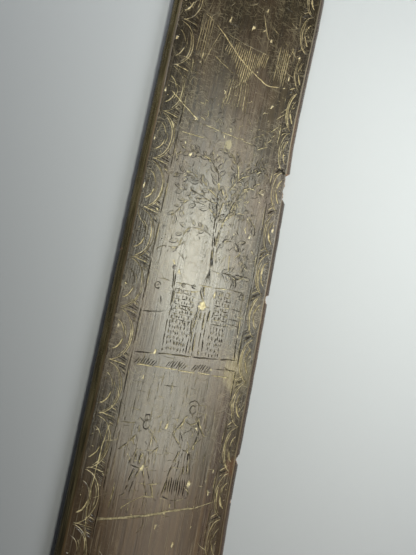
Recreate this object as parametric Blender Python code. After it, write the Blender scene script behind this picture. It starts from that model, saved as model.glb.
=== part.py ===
"""Scrimshaw busk: one flat strip of baleen, bevelled along its edges and engraved on its face.

The strip lies on its back on the plane Z = 0, with its length along Y and its engraved face up.
Sizes are in metres. The pictures are drawn in units of their own, about a millimetre each on
the real strip, and picture_unit() says how many metres one is.
"""

import math

import bmesh
import bpy
import numpy as np
from mathutils import Vector
from mathutils.geometry import delaunay_2d_cdt

# The strip
BUSK_LENGTH = 0.330
BUSK_WIDTH = 0.0406         # at its widest swell
END_RADIUS = 0.013          # round corners of both ends
UNDER_EDGE = 0.0003         # small chamfer along the back
SIDE_HEIGHT = 0.0016        # upright part of the edge
BEVEL_DROP = 0.0013         # height of the bevel round the face
BEVEL_RUN = 0.0017          # its width, seen from above
CROWN = 0.0005              # how much higher the face is along its middle
EDGE_STEP = 0.008           # spacing of the points along a long edge
CORNER_POINTS = 6           # points round each corner

# Slow hollows and swells of the hand-cut right edge: place along Y, height, spread
EDGE_WAVES = (
    (0.080, 0.0006, 0.0155),
    (0.040, -0.0005, 0.016),
    (0.031, 0.0002, 0.005),
    (-0.020, 0.0001, 0.022),
    (-0.072, 0.0005, 0.014),
)

# Chips: place along Y, length, depth, share of the length that is bitten to full depth
RIGHT_CHIPS = (
    (0.0283, 0.0082, 0.00165, 0.80),
    (-0.0015, 0.0024, 0.0010, 0.72),
    (-0.0419, 0.0026, 0.0014, 0.0),
    (0.0172, 0.0009, 0.0003, 0.0),
    (-0.0520, 0.0012, 0.0004, 0.0),
)
LEFT_CHIPS = ((0.0025, 0.0012, 0.0003, 0.0),)
CHIP_SLOPE = 0.7            # share of a chip's depth that is left at the back

# The cutter's strokes
STROKE_WIDTH = 0.00042
STROKE_DEPTH = 0.00018
FINE_WIDTH = 0.00030
FINE_DEPTH = 0.00013
LEAF_WIDTH = 0.00085
LEAF_DEPTH = 0.00015
EDGE_CLEARANCE = 0.00045    # from a stroke's middle to the bevel

# The borders: side of the strip, spacing of the scallops, place of one cusp along Y,
# reach of the outer arc, and share of it that the inner arc reaches
SCALLOP_ARC_POINTS = 6
INNER_ARC_SPAN = 0.58       # share of the spacing that an inner arc covers
BORDERS = (
    (-1, 0.0123, 0.0008, 0.0049, 0.56),
    (1, 0.0110, -0.0010, 0.0031, 0.50),
)
RULE_GAP = 0.0005           # between the scallops and the rule inside them
RULE_STEP = 0.030
END_BAND = 0.0085           # from an end of the strip to its first cross line

# The pictures
PICTURE_WIDTH_UNITS = 26.8  # width of the field between the two rules, in picture units
PICTURE_MIDDLE = 1.1        # the picture's own X that lies in the middle of the field
FACE_GRID = 0.013           # spacing of the points that carry the crown
GRID_CLEARANCE = 0.0011     # from such a point to the nearest stroke
MERGE_DISTANCE = 0.000015   # points nearer than this are one point

# The tree: start of each branch, its heading and its turn in degrees, and its length.
# This and what follows is in picture units, with Y counted along the strip from its middle.
TREE_BRANCHES = (
    (2.2, 3.0, 92, 15, 27.5),
    (3.0, 3.0, 93, -28, 21.5),
    (3.6, 21.6, 70, -36, 15.5),
    (3.5, 11.6, 70, -98, 11.5),
    (3.5, 6.4, 64, -132, 11.0),
    (1.2, 11.0, 172, 95, 16.0),
    (0.2, 20.6, 150, -20, 6.0),
    (0.9, 15.4, 168, 8, 9.5),
    (-1.2, 26.0, 162, 14, 9.0),
)
BARE_TRUNK = 7.0            # length at the start of a branch that carries no leaves
BARE_SHARE = 0.18
LEAF_LENGTH = 1.9
LEAF_SPACING = 2.3
LEAF_ANGLE = 48

# The two walls: left, right and top edge, and the roof post beside each
WALLS = ((-5.4, 0.2, -3.8), (5.2, 12.4, -2.6))
GROUND_Y = -19.6
COURSE_HEIGHT = 1.35
BRICK_LENGTH = 1.9
BRICK_COURSES = 6
TUFTS = ((-8.6, -20.9), (-1.0, -20.2), (5.5, -19.9))
TUFT_STROKES = 7
TUFT_SPREAD = 4.6
TUFT_HEIGHT = 2.3

# Places of the pictures along the strip
TREE_TOP_Y = 37.2
SECOND_LINE_DROP = 2.9
FIGURE_BASE_Y = -53.0
HATCH_BASE_Y = 53.0
HATCH_TOP_Y = 62.0
HATCH_STROKES = 12
END_PANEL_Y = 84.0
ROSETTE_RADIUS = 10.5
ROSETTE_FROM_END = 42.0
PETALS = 6


def bevel_height():
    """Height of the bevel's upper edge over the back."""
    return UNDER_EDGE + SIDE_HEIGHT + BEVEL_DROP


def right_wave(y):
    """How far the hand-cut right edge stands out at a place along the strip."""
    return sum(height * math.exp(-(((y - place) / spread) ** 2)) for place, height, spread in EDGE_WAVES)


def edge_x(side, wave=0.0):
    """X of the strip's long edge on one side, which on the right gives way to the widest swell."""
    if side < 0:
        return -BUSK_WIDTH / 2
    return BUSK_WIDTH / 2 - max(height for _, height, _ in EDGE_WAVES) + wave


def edge_stations(chips):
    """Places along a long edge with the depth of the chip there, from the lower end to the upper."""
    reach = BUSK_LENGTH / 2 - END_RADIUS
    stations = []
    for place, length, depth, flat in chips:
        for share, cut in ((-0.5, 0.0), (-0.5 * flat, depth), (0.5 * flat, depth), (0.5, 0.0)):
            stations.append((place + share * length, cut))
    stations = [station for station in stations if abs(station[0]) < reach - EDGE_STEP / 4]
    bitten = [(place - length / 2, place + length / 2) for place, length, _, _ in chips]
    count = max(2, round(2 * reach / EDGE_STEP))
    for i in range(count + 1):
        y = -reach + 2 * reach * i / count
        if not any(low - EDGE_STEP / 4 < y < high + EDGE_STEP / 4 for low, high in bitten):
            stations.append((y, 0.0))
    stations.sort()
    kept = stations[:1]
    for station in stations[1:]:
        if station[0] - kept[-1][0] > MERGE_DISTANCE:
            kept.append(station)
    return kept


def outline():
    """The strip's edge, counterclockwise: point, direction straight out, and depth of the chip there."""
    half_length = BUSK_LENGTH / 2
    rim = []

    def corner(side, end, first_angle):
        centre = Vector((edge_x(side) - side * END_RADIUS, end * (half_length - END_RADIUS)))
        for i in range(1, CORNER_POINTS + 1):
            angle = math.radians(first_angle + 90 * i / (CORNER_POINTS + 1))
            out = Vector((math.cos(angle), math.sin(angle)))
            rim.append((centre + END_RADIUS * out, out, 0.0))

    for y, cut in edge_stations(RIGHT_CHIPS):
        rim.append((Vector((edge_x(1, right_wave(y)), y)), Vector((1, 0)), cut))
    corner(1, 1, 0)
    for side in (1, -1):
        rim.append((Vector((edge_x(side) - side * END_RADIUS, half_length)), Vector((0, 1)), 0.0))
    corner(-1, 1, 90)
    for y, cut in reversed(edge_stations(LEFT_CHIPS)):
        rim.append((Vector((edge_x(-1), y)), Vector((-1, 0)), cut))
    corner(-1, -1, 180)
    for side in (-1, 1):
        rim.append((Vector((edge_x(side) - side * END_RADIUS, -half_length)), Vector((0, -1)), 0.0))
    corner(1, -1, 270)
    return rim


def rim_loops(rim):
    """Four closed loops of points, from the bevel's upper edge down to the back."""
    upper, shoulder, foot, back = [], [], [], []
    for point, out, cut in rim:
        inset = max(BEVEL_RUN, cut + UNDER_EDGE)
        left_of_bevel = max(0.0, 1 - cut / BEVEL_RUN)
        upper.append((*(point - inset * out), bevel_height()))
        shoulder.append((*(point - cut * out), bevel_height() - BEVEL_DROP * left_of_bevel))
        foot.append((*(point - CHIP_SLOPE * cut * out), UNDER_EDGE))
        back.append((*(point - (CHIP_SLOPE * cut + UNDER_EDGE) * out), 0.0))
    return upper, shoulder, foot, back


class Engraving:
    """The strokes cut into the face. Each tapers to a point at both ends and is V-shaped across."""

    def __init__(self):
        self.strokes = []

    def cut(self, points, width=STROKE_WIDTH, depth=STROKE_DEPTH):
        """Adds a stroke through the points; one of two points gets a widest place of its own."""
        points = [Vector(point) for point in points]
        if len(points) == 2:
            start, end = points
            length = (end - start).length
            if length < 8 * width:
                points = [start, (start + end) / 2, end]
            else:
                run = (end - start) * (3 * width / length)
                points = [start, start + run, end - run, end]
        limit = BUSK_LENGTH / 2 - BEVEL_RUN - EDGE_CLEARANCE
        points = [Vector((point.x, max(-limit, min(limit, point.y)))) for point in points]
        self.strokes.append((points, width / 2, depth))

    def draw(self, points, width=STROKE_WIDTH, depth=STROKE_DEPTH):
        """Adds a stroke given in picture units."""
        middle = Vector((PICTURE_MIDDLE, 0))
        centre = Vector(((rule_x(-1) + rule_x(1)) / 2, 0))
        self.cut([centre + (Vector(point) - middle) * picture_unit() for point in points], width, depth)

    def segments(self):
        """Every straight run of every stroke: ends, taper at both ends, half width and depth."""
        runs = []
        for points, half_width, depth in self.strokes:
            last = len(points) - 1
            for i in range(last):
                taper = (float(i > 0), float(i + 1 < last))
                runs.append((*points[i], *points[i + 1], *taper, half_width, depth))
        return np.array(runs)

    def plan(self):
        """Points and edges of the strokes' outlines and middle lines, for the triangulation."""
        points, edges = [], []
        for line, half_width, _ in self.strokes:
            first = len(points)
            last = len(line) - 1
            points.append(line[0])
            for i in range(1, last):
                before = (line[i] - line[i - 1]).normalized()
                after = (line[i + 1] - line[i]).normalized()
                along = (before + after).normalized()
                across = Vector((-along.y, along.x)) * half_width / max(0.6, along.dot(before))
                points.extend((line[i] + across, line[i], line[i] - across))
            points.append(line[last])
            end = len(points) - 1
            for row in range(3):
                path = [first] + [first + 1 + 3 * i + row for i in range(last - 1)] + [end]
                edges.extend(zip(path[:-1], path[1:]))
        return points, edges


def scallop_x(side):
    """X that the outer arcs of a border reach."""
    reach = next(border[3] for border in BORDERS if border[0] == side)
    return edge_x(side) - side * (BEVEL_RUN + EDGE_CLEARANCE + reach)


def rule_x(side):
    """X of the rule that parts a border from the pictures."""
    return scallop_x(side) - side * RULE_GAP


def picture_unit():
    """Metres in one picture unit, so that the pictures fill the field between the rules."""
    return (rule_x(1) - rule_x(-1)) / PICTURE_WIDTH_UNITS


def field_edge(side):
    """The picture's own X on one side of the field, a little inside the rule."""
    return PICTURE_MIDDLE + side * (PICTURE_WIDTH_UNITS / 2 - STROKE_WIDTH / picture_unit())


def arc_points(centre, radii, first, last, count):
    """Points along an ellipse's arc; angles in degrees."""
    angles = (math.radians(first + (last - first) * i / count) for i in range(count + 1))
    return [(centre[0] + radii[0] * math.cos(a), centre[1] + radii[1] * math.sin(a)) for a in angles]


def bend_points(start, heading, turn, length, count):
    """Points along a line that turns evenly; the heading and the turn are in degrees."""
    points = [Vector(start)]
    for i in range(count):
        angle = math.radians(heading + turn * (i + 0.5) / count)
        points.append(points[-1] + Vector((math.cos(angle), math.sin(angle))) * length / count)
    return points


def engrave_border(pen, side, pitch, cusp, _, inner_share):
    """A row of double scallops along one long edge, with a rule inside it."""
    half_run = BUSK_LENGTH / 2 - END_RADIUS
    first = math.ceil((-half_run - cusp) / pitch)
    last = math.floor((half_run - cusp) / pitch)
    for k in range(first, last):
        middle = cusp + (k + 0.5) * pitch
        outside = edge_x(side, min(0.0, right_wave(middle))) - side * (BEVEL_RUN + EDGE_CLEARANCE)
        reach = abs(outside - scallop_x(side))
        arcs = ((1 - STROKE_WIDTH / pitch, reach, SCALLOP_ARC_POINTS), (INNER_ARC_SPAN, inner_share * reach, 4))
        for share, depth_in, count in arcs:
            arc = arc_points((0.0, middle), (depth_in, share * pitch / 2), -90, 90, count)
            pen.cut([(outside - side * x, y) for x, y in arc])
    steps = max(2, round(2 * half_run / RULE_STEP))
    rule = [(rule_x(side), -half_run + 2 * half_run * i / steps) for i in range(steps + 1)]
    pen.cut(rule, FINE_WIDTH, FINE_DEPTH)


def engrave_cross_line(pen, y, rise=0.0):
    """A line across the field, with a point on each third of it."""
    left, right = field_edge(-1), field_edge(1)
    pen.draw([(left + (right - left) * i / 3, y + rise * i / 3) for i in range(4)])


def engrave_tree(pen):
    """Two trunk lines, branches that bend away from them, and leaves in turn on both sides."""
    tilt = math.radians(LEAF_ANGLE)
    for x, y, heading, turn, length in TREE_BRANCHES:
        pen.draw(bend_points((x, y), heading, turn, length, 4))
        bare = BARE_TRUNK if length > 2.5 * BARE_TRUNK else BARE_SHARE * length
        along = bare + LEAF_SPACING / 2
        turned = 1
        while along < length:
            angle = math.radians(heading + turn * along / length)
            foot = bend_points((x, y), heading, turn * along / length, along, 8)[-1]
            leaf = Vector((math.cos(angle + turned * tilt), math.sin(angle + turned * tilt)))
            foot += 0.35 * leaf
            if field_edge(-1) + 1 < foot.x + LEAF_LENGTH * leaf.x < field_edge(1) - 1:
                pen.draw((foot, foot + LEAF_LENGTH * leaf), LEAF_WIDTH, LEAF_DEPTH)
            turned = -turned
            along += LEAF_SPACING / 2


def engrave_walls(pen):
    """Two brick walls on the ground line, with a post between them and the tree's foot above."""
    for left, right, top in WALLS:
        pen.draw(((left - 0.6, top), (right + 0.6, top)))
        for x in (left, right):
            pen.draw(((x, top - 0.4), (x, GROUND_Y + 0.6)))
        for row in range(1, BRICK_COURSES + 1):
            y = top - row * COURSE_HEIGHT
            pen.draw(((left + 0.5, y), (right - 0.5, y)), FINE_WIDTH, FINE_DEPTH)
            x = left + BRICK_LENGTH * (0.5 + 0.5 * (row % 2))
            while x < right - 0.4:
                pen.draw(((x, y + 0.25), (x, y + COURSE_HEIGHT - 0.25)), FINE_WIDTH, FINE_DEPTH)
                x += BRICK_LENGTH
        low_top = top - (BRICK_COURSES + 1) * COURSE_HEIGHT
        for x in np.arange(left + BRICK_LENGTH / 2, right - 0.4, BRICK_LENGTH):
            pen.draw(((x, low_top), (x, GROUND_Y + 1.2)), FINE_WIDTH, FINE_DEPTH)
        pen.draw(((right - 0.9, top + 0.6), (right - 0.1, top + 3.2)))
        pen.draw(((right + 0.9, top + 0.6), (right + 0.1, top + 3.2)))


def engrave_ground(pen):
    """The ground line under the walls, and the grass below it."""
    engrave_cross_line(pen, GROUND_Y - 0.6, 1.6)
    for x, y in TUFTS:
        for i in range(TUFT_STROKES):
            share = i / (TUFT_STROKES - 1) - 0.5
            foot = (x + TUFT_SPREAD * share * 0.8, y - TUFT_HEIGHT)
            tip = (x + TUFT_SPREAD * share * 1.2, y - 0.4 - 0.8 * abs(share))
            pen.draw((foot, tip), FINE_WIDTH, FINE_DEPTH)


def engrave_figure(pen, x, height, stride, skirt_strokes):
    """A standing figure, built on shares of its height, with legs or with a long skirt."""
    head = 0.062 * height
    top = FIGURE_BASE_Y + height
    pen.draw(arc_points((x, top - head), (0.8 * head, head), 100, 440, 6))
    shoulder, waist = top - 2.5 * head, FIGURE_BASE_Y + 0.56 * height
    for side in (-1, 1):
        pen.draw(((x + side * 0.25, shoulder + 0.4), (x + side * 1.5, shoulder - 0.6), (x + side * 1.1, waist)))
        elbow = (x + side * (1.9 + 0.4 * stride), (shoulder + waist) / 2)
        pen.draw(((x + side * 1.8, shoulder - 0.5), elbow, (x + side * (1.6 + stride), waist - 0.3)))
        if not skirt_strokes:
            knee = (x + side * 0.7 * stride + 0.2, FIGURE_BASE_Y + 0.28 * height)
            foot = (x + side * 1.3 * stride, FIGURE_BASE_Y + 0.5)
            pen.draw(((x + side * 0.4, waist - 0.7), knee, foot))
            pen.draw((foot, (foot[0] + 1.4, foot[1] - 0.5)))
    for i in range(skirt_strokes):
        share = i / (skirt_strokes - 1) - 0.5
        pen.draw(((x + 1.6 * share, waist - 0.8), (x + 5.4 * share, FIGURE_BASE_Y + 0.4)))


def engrave_hatching(pen):
    """The block of upright strokes in the upper picture."""
    for i in range(HATCH_STROKES):
        x = -4.2 + 11.2 * i / (HATCH_STROKES - 1)
        low = HATCH_BASE_Y + 3.2 * abs(i / (HATCH_STROKES - 1) - 0.55)
        pen.draw(((x, low), (x - 0.5, HATCH_TOP_Y + 0.9 * math.sin(i))), FINE_WIDTH, FINE_DEPTH)
    for x in (-11.4, -10.4, 10.6, 11.8):
        pen.draw(((x, HATCH_BASE_Y + 1), (x, HATCH_TOP_Y + 3)))


def engrave_rosette(pen, y):
    """A ring with petals drawn by the same compass opening."""
    centre = Vector((PICTURE_MIDDLE, y))
    pen.draw(arc_points(centre, (ROSETTE_RADIUS, ROSETTE_RADIUS), 90, 446, 20))
    for i in range(PETALS):
        angle = 360 * i / PETALS + 90
        out = Vector((math.cos(math.radians(angle)), math.sin(math.radians(angle))))
        across = Vector((-out.y, out.x))
        for side in (-1, 1):
            swell = side * 0.24 * ROSETTE_RADIUS * across
            shares = ((0.10, 0.25), (0.30, 0.8), (0.52, 1.0), (0.74, 0.75), (0.92, 0.15))
            pen.draw([centre + share * ROSETTE_RADIUS * out + wide * swell for share, wide in shares])


def engraving():
    """All strokes of the face."""
    pen = Engraving()
    for border in BORDERS:
        engrave_border(pen, *border)
    engrave_tree(pen)
    engrave_walls(pen)
    engrave_ground(pen)
    engrave_figure(pen, -3.9, 18.5, 2.6, 0)
    engrave_figure(pen, 4.9, 22.5, 1.6, 6)
    engrave_hatching(pen)
    engrave_cross_line(pen, TREE_TOP_Y, -0.9)
    engrave_cross_line(pen, TREE_TOP_Y - SECOND_LINE_DROP, 0.3)
    end = (BUSK_LENGTH / 2 - END_BAND) / picture_unit()
    for sign in (-1, 1):
        engrave_cross_line(pen, sign * END_PANEL_Y)
        engrave_cross_line(pen, sign * end)
        engrave_cross_line(pen, sign * (end - 2))
        engrave_rosette(pen, sign * (end + END_BAND / picture_unit() - ROSETTE_FROM_END))
    return pen


def groove_depth(places, runs):
    """How deep the strokes are at each place; where they cross, the deepest counts."""
    deepest = np.zeros(len(places))
    for ax, ay, bx, by, taper_a, taper_b, half_width, depth in runs:
        run = np.array((bx - ax, by - ay))
        offset = places - (ax, ay)
        share = np.clip(offset @ run / max(run @ run, 1e-18), 0, 1)
        distance = np.linalg.norm(offset - share[:, None] * run, axis=1)
        taper = taper_a + share * (taper_b - taper_a)
        deepest = np.maximum(deepest, depth * (taper - distance / half_width))
    return deepest


def crown_grid(runs):
    """Points that carry the crown where no stroke is near."""
    half_x = BUSK_WIDTH / 2 - BEVEL_RUN
    half_y = BUSK_LENGTH / 2 - BEVEL_RUN
    columns = max(2, round(2 * half_x / FACE_GRID))
    rows = max(2, round(2 * half_y / FACE_GRID))
    grid = []
    for column in range(1, columns):
        for row in range(1, rows):
            grid.append((-half_x + 2 * half_x * column / columns, -half_y + 2 * half_y * row / rows))
    grid = np.array(grid)
    near = runs.copy()
    near[:, 4:6] = 1.0
    near[:, 6] = GRID_CLEARANCE
    return [Vector(place) for place in grid[groove_depth(grid, near) <= 0]]


def face_height(places, runs):
    """Height of the engraved, crowned face over the back."""
    across = 1 - (places[:, 0] / (BUSK_WIDTH / 2 - BEVEL_RUN)) ** 2
    along = 1 - (places[:, 1] / (BUSK_LENGTH / 2 - BEVEL_RUN)) ** 8
    crown = CROWN * np.clip(across, 0, 1) * np.clip(along, 0, 1)
    return bevel_height() + crown - groove_depth(places, runs)


def plan_mesh(points, edges, rim_count):
    """Triangles between all points, seen from above: places, faces, and where the rim's points went."""
    scaled = [point / BUSK_WIDTH for point in points]
    places, _, faces, sources, _, _ = delaunay_2d_cdt(scaled, edges, [], 1, MERGE_DISTANCE / BUSK_WIDTH)
    work = bmesh.new()
    rim_layer = work.verts.layers.int.new("rim")
    verts = [work.verts.new((*(place * BUSK_WIDTH), 0)) for place in places]
    for vert, inputs in zip(verts, sources):
        vert[rim_layer] = max((source + 1 for source in inputs if source < rim_count), default=0)
    for face in faces:
        work.faces.new([verts[i] for i in face])
    free = [vert for vert in verts if not vert[rim_layer]]
    bmesh.ops.remove_doubles(work, verts=free, dist=MERGE_DISTANCE)
    bmesh.ops.triangulate(work, faces=work.faces[:])
    work.verts.index_update()
    rim_index = [0] * rim_count
    for vert in work.verts:
        if vert[rim_layer]:
            rim_index[vert[rim_layer] - 1] = vert.index
    places = np.array([tuple(vert.co.xy) for vert in work.verts])
    faces = [tuple(vert.index for vert in face.verts) for face in work.faces]
    work.free()
    return places, faces, rim_index


def busk_mesh():
    """The strip's mesh: the engraved face, three bands of edge and the flat back."""
    loops = rim_loops(outline())
    count = len(loops[0])
    pen = engraving()
    runs = pen.segments()
    stroke_points, stroke_edges = pen.plan()
    rim_points = [Vector(point[:2]) for point in loops[0]]
    plan_points = rim_points + stroke_points + crown_grid(runs)
    plan_edges = [(i, (i + 1) % count) for i in range(count)]
    plan_edges += [(a + count, b + count) for a, b in stroke_edges]
    places, faces, rim_index = plan_mesh(plan_points, plan_edges, count)
    heights = face_height(places, runs)
    vertices = [(*place, height) for place, height in zip(places, heights)]
    for vertex, point in zip(rim_index, loops[0]):
        vertices[vertex] = point
    rings = [rim_index]
    for loop in loops[1:]:
        rings.append(list(range(len(vertices), len(vertices) + count)))
        vertices.extend(loop)
    for upper, lower in zip(rings[:-1], rings[1:]):
        for i in range(count):
            j = (i + 1) % count
            faces.append((upper[i], lower[i], lower[j], upper[j]))
    faces.append(tuple(reversed(rings[-1])))

    mesh = bpy.data.meshes.new("busk")
    mesh.from_pydata(vertices, [], faces)
    mesh.validate()
    return mesh


def baleen():
    """Dark, polished baleen."""
    material = bpy.data.materials.new("baleen")
    material.use_nodes = True
    shader = material.node_tree.nodes["Principled BSDF"]
    shader.inputs["Base Color"].default_value = (0.045, 0.034, 0.022, 1)
    shader.inputs["Metallic"].default_value = 0.0
    shader.inputs["Roughness"].default_value = 0.32
    shader.inputs["IOR"].default_value = 1.55
    return material


def main():
    for thing in list(bpy.data.objects):
        bpy.data.objects.remove(thing, do_unlink=True)
    mesh = busk_mesh()
    mesh.materials.append(baleen())
    busk = bpy.data.objects.new("busk", mesh)
    bpy.context.scene.collection.objects.link(busk)
    print("busk", len(mesh.vertices), "vertices", len(mesh.polygons), "faces")


main()
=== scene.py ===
# %% [markdown]
# # A scrimshaw busk in baleen
#
# A busk is the flat stay that once stiffened the front of a bodice. This one is a strip of
# baleen, the horny plate from a whale's mouth, bevelled along its edges and engraved with a
# graver or a sail needle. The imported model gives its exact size. This lesson cuts the fine
# engraving into a mesh of the same size, and gives it the polish, the fibres and the pale
# scratches of the real thing. All lengths are in millimetres until a mesh or a light is made,
# and MM turns them to Blender's metres.

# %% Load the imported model
import math
import random

import bpy
import numpy as np
from mathutils import Matrix, Vector
from mathutils.geometry import delaunay_2d_cdt


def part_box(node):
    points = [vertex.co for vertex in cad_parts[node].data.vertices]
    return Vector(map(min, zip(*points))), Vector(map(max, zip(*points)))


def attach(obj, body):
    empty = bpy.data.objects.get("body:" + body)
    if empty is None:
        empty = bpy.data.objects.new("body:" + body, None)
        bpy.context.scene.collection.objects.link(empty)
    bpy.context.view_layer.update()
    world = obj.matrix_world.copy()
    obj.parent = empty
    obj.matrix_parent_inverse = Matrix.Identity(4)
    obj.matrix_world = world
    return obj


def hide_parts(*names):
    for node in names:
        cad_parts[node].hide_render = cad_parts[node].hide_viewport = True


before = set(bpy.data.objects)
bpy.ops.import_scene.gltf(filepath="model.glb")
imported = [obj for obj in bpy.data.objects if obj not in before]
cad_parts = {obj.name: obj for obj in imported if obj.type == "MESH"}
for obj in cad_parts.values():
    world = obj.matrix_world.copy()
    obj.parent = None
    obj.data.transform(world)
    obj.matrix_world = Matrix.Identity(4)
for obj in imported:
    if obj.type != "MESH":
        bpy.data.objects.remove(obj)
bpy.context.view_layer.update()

low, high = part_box("busk")
MM = 0.001
LENGTH = (high.y - low.y) / MM
WIDTH = (high.x - low.x) / MM
THICKNESS = (high.z - low.z) / MM
print(f"busk: {LENGTH:.1f} x {WIDTH:.1f} x {THICKNESS:.2f} mm")

# %% [markdown]
# ## Camera
#
# The photograph looks down on the strip from about 150 mm away, from its lower left. A camera
# this near shows perspective: the strip is wider at the top of the picture. It could be set by
# eye in the viewport, but the long edges have to fall on known lines of the picture, so its
# place and its three turns are written as numbers. The lens follows from the picture's height
# and the focal length, both in pixels.

# %% Camera
IMAGE_HEIGHT_PX = 555
FOCAL_PX = 600
SENSOR_MM = 36.0
CAMERA_PLACE = Vector((-41.79, -19.03, 143.0))
TIP_DEGREES, ROLL_DEGREES, SPIN_DEGREES = -7.55, 17.47, -11.13
NEAREST_M, FARTHEST_M = 0.005, 20


def camera_rotation(tip, roll, spin):
    """The camera's turn, from degrees: rolled about the strip's Y, tipped about X, spun about Z."""
    seen = Matrix.Identity(3)
    for degrees, axis in ((spin, "Z"), (tip, "X"), (roll, "Y")):
        seen = seen @ Matrix.Rotation(math.radians(degrees), 3, axis)
    return seen.transposed()


scene = bpy.context.scene
camera = bpy.data.objects.new("camera", bpy.data.cameras.new("camera"))
camera.data.sensor_width = SENSOR_MM
camera.data.lens = FOCAL_PX / IMAGE_HEIGHT_PX * SENSOR_MM
camera.data.clip_start = NEAREST_M
camera.data.clip_end = FARTHEST_M
turn = camera_rotation(TIP_DEGREES, ROLL_DEGREES, SPIN_DEGREES)
camera.matrix_world = Matrix.Translation(CAMERA_PLACE * MM) @ turn.to_4x4()
scene.collection.objects.link(camera)
scene.camera = camera
scene.view_settings.view_transform = "Standard"
print(f"lens {camera.data.lens:.1f} mm, {CAMERA_PLACE.z:.0f} mm above the floor")

# %% [markdown]
# ## Colours and nodes
#
# Colours are written as sRGB hex, as a colour picker shows them, and one function turns them
# to the linear values that shaders use. A second function adds a node of any kind, with its
# settings and its links. Nodes could be wired by hand in the shader editor, but written out
# like this they can be read, compared and changed in one place.

# %% Two helpers


def colour(hex_code):
    """Linear RGBA of an sRGB hex colour."""
    parts = [int(hex_code[i:i + 2], 16) / 255 for i in (0, 2, 4)]
    linear = [c / 12.92 if c <= 0.04045 else ((c + 0.055) / 1.055) ** 2.4 for c in parts]
    return (*linear, 1.0)


def add(tree, kind, inputs=(), **settings):
    """Adds a node; its inputs, in the sockets' order or by name, are values, sockets or other nodes."""
    node = tree.nodes.new(kind)
    for name, value in settings.items():
        setattr(node, name, value)
    for name, value in inputs.items() if isinstance(inputs, dict) else enumerate(inputs):
        if isinstance(value, bpy.types.Node):
            value = value.outputs[0]
        if isinstance(value, bpy.types.NodeSocket):
            tree.links.new(value, node.inputs[name])
        else:
            node.inputs[name].default_value = value
    return node


print("a middle grey in linear light:", round(colour("808080")[0], 3))

# %% [markdown]
# ## Floor
#
# The strip lies on plain matt paper: rough, and hardly brighter at a glancing angle. A curved
# studio sweep would do as well, but from above only a flat sheet is seen, so one large square
# is enough.

# %% Floor
FLOOR_HALF_MM = 4000

floor_mesh = bpy.data.meshes.new("floor")
square = ((-1, -1), (1, -1), (1, 1), (-1, 1))
corners = [(x * FLOOR_HALF_MM * MM, y * FLOOR_HALF_MM * MM, 0) for x, y in square]
floor_mesh.from_pydata(corners, [], [(0, 1, 2, 3)])
floor = bpy.data.objects.new("floor", floor_mesh)
scene.collection.objects.link(floor)

paper = bpy.data.materials.new("matt_paper")
paper.use_nodes = True
shader = paper.node_tree.nodes["Principled BSDF"]
shader.inputs["Base Color"].default_value = colour("94989d")
shader.inputs["Roughness"].default_value = 0.9
shader.inputs["Specular IOR Level"].default_value = 0.2
floor_mesh.materials.append(paper)
print(f"floor: {2 * FLOOR_HALF_MM * MM:.0f} m square")

# %% [markdown]
# ## Light
#
# Baleen is dark and polished, so most of what the eye sees on it is a reflection. A picture of
# a studio could be wrapped round the scene for that, but lights that stand in it are easier to
# aim. A light is seen in a flat mirror where the angles in and out are equal, so a softbox
# stands as far beyond the spot where its sheen should fall as the camera stands before it, in
# the ratio of their heights. One long softbox and six smaller ones make a sheen that fills the
# middle of the strip, fades towards the figures, and ends short of the upper picture, which is
# why that stays dark. A window on the right and a lamp on the left light the paper and the
# bevels.

# %% How a light is placed
SOFTBOX_HEIGHT = 150.0
SOFTBOX_SPREAD = math.radians(130)
FACE_HEIGHT = 3.5
# A softbox is turned towards the floor this far to the right of it, and as far up the strip.
SOFTBOX_AIM = 33.0


def mirrored(x, y):
    """Where a light at the softbox's height stands to be seen in the face at a spot."""
    ratio = (SOFTBOX_HEIGHT - FACE_HEIGHT) / (CAMERA_PLACE.z - FACE_HEIGHT)
    return Vector((x + ratio * (x - CAMERA_PLACE.x), y + ratio * (y - CAMERA_PLACE.y), SOFTBOX_HEIGHT))


def area_light(name, place, target, size, brightness, tint, spread=math.pi):
    """A rectangular area light, in millimetres; brightness is its radiance."""
    light = bpy.data.lights.new(name, "AREA")
    light.shape = "RECTANGLE"
    light.size, light.size_y = size[0] * MM, size[1] * MM
    light.energy = brightness * math.pi * light.size * light.size_y
    light.color = colour(tint)[:3]
    light.spread = spread
    lamp = bpy.data.objects.new(name, light)
    back = (Vector(place) - Vector(target)).normalized()
    side = Vector((0, 1, 0)).cross(back).normalized()
    lamp.matrix_world = Matrix((side, back.cross(side), back)).transposed().to_4x4()
    lamp.matrix_world.translation = Vector(place) * MM
    scene.collection.objects.link(lamp)
    print(f"{name}: {size[0]:.0f} x {size[1]:.0f} mm, {light.energy:.2f} W")


def sheen_light(name, first, last, brightness, tint):
    """A softbox whose sheen fills the rectangle between two spots of the face."""
    near, far = mirrored(*first), mirrored(*last)
    centre = (near + far) / 2
    size = (far.x - near.x, far.y - near.y)
    aim = (centre.x + SOFTBOX_AIM, centre.y + SOFTBOX_AIM, 0)
    area_light(name, centre, aim, size, brightness, tint, SOFTBOX_SPREAD)


# %% Lights
# Each softbox: two corners of its sheen on the face, its brightness and its tint.
SOFTBOXES = (
    ("long_softbox", (-15, -22), (16, 36), 5.8, "f9faed"),
    ("left_softbox", (-15, -47), (10, -22), 5.4, "fcf8e6"),
    ("lower_softbox", (-8, -92), (17, -47), 1.5, "fbeedc"),
    ("upper_softbox", (-15, 36), (5, 43), 3.0, "f8faf2"),
    ("upper_left_softbox", (-16, 43), (-5, 51), 3.0, "f8faf2"),
    ("upper_middle", (-16, -16), (9, 32), 2.0, "f9faed"),
    ("bright_middle", (-16, -8), (4, 17), 4.4, "fff8dc"),
)
LAMP_SPREAD = math.radians(80)
ROOM_BRIGHTNESS = 0.07

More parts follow.
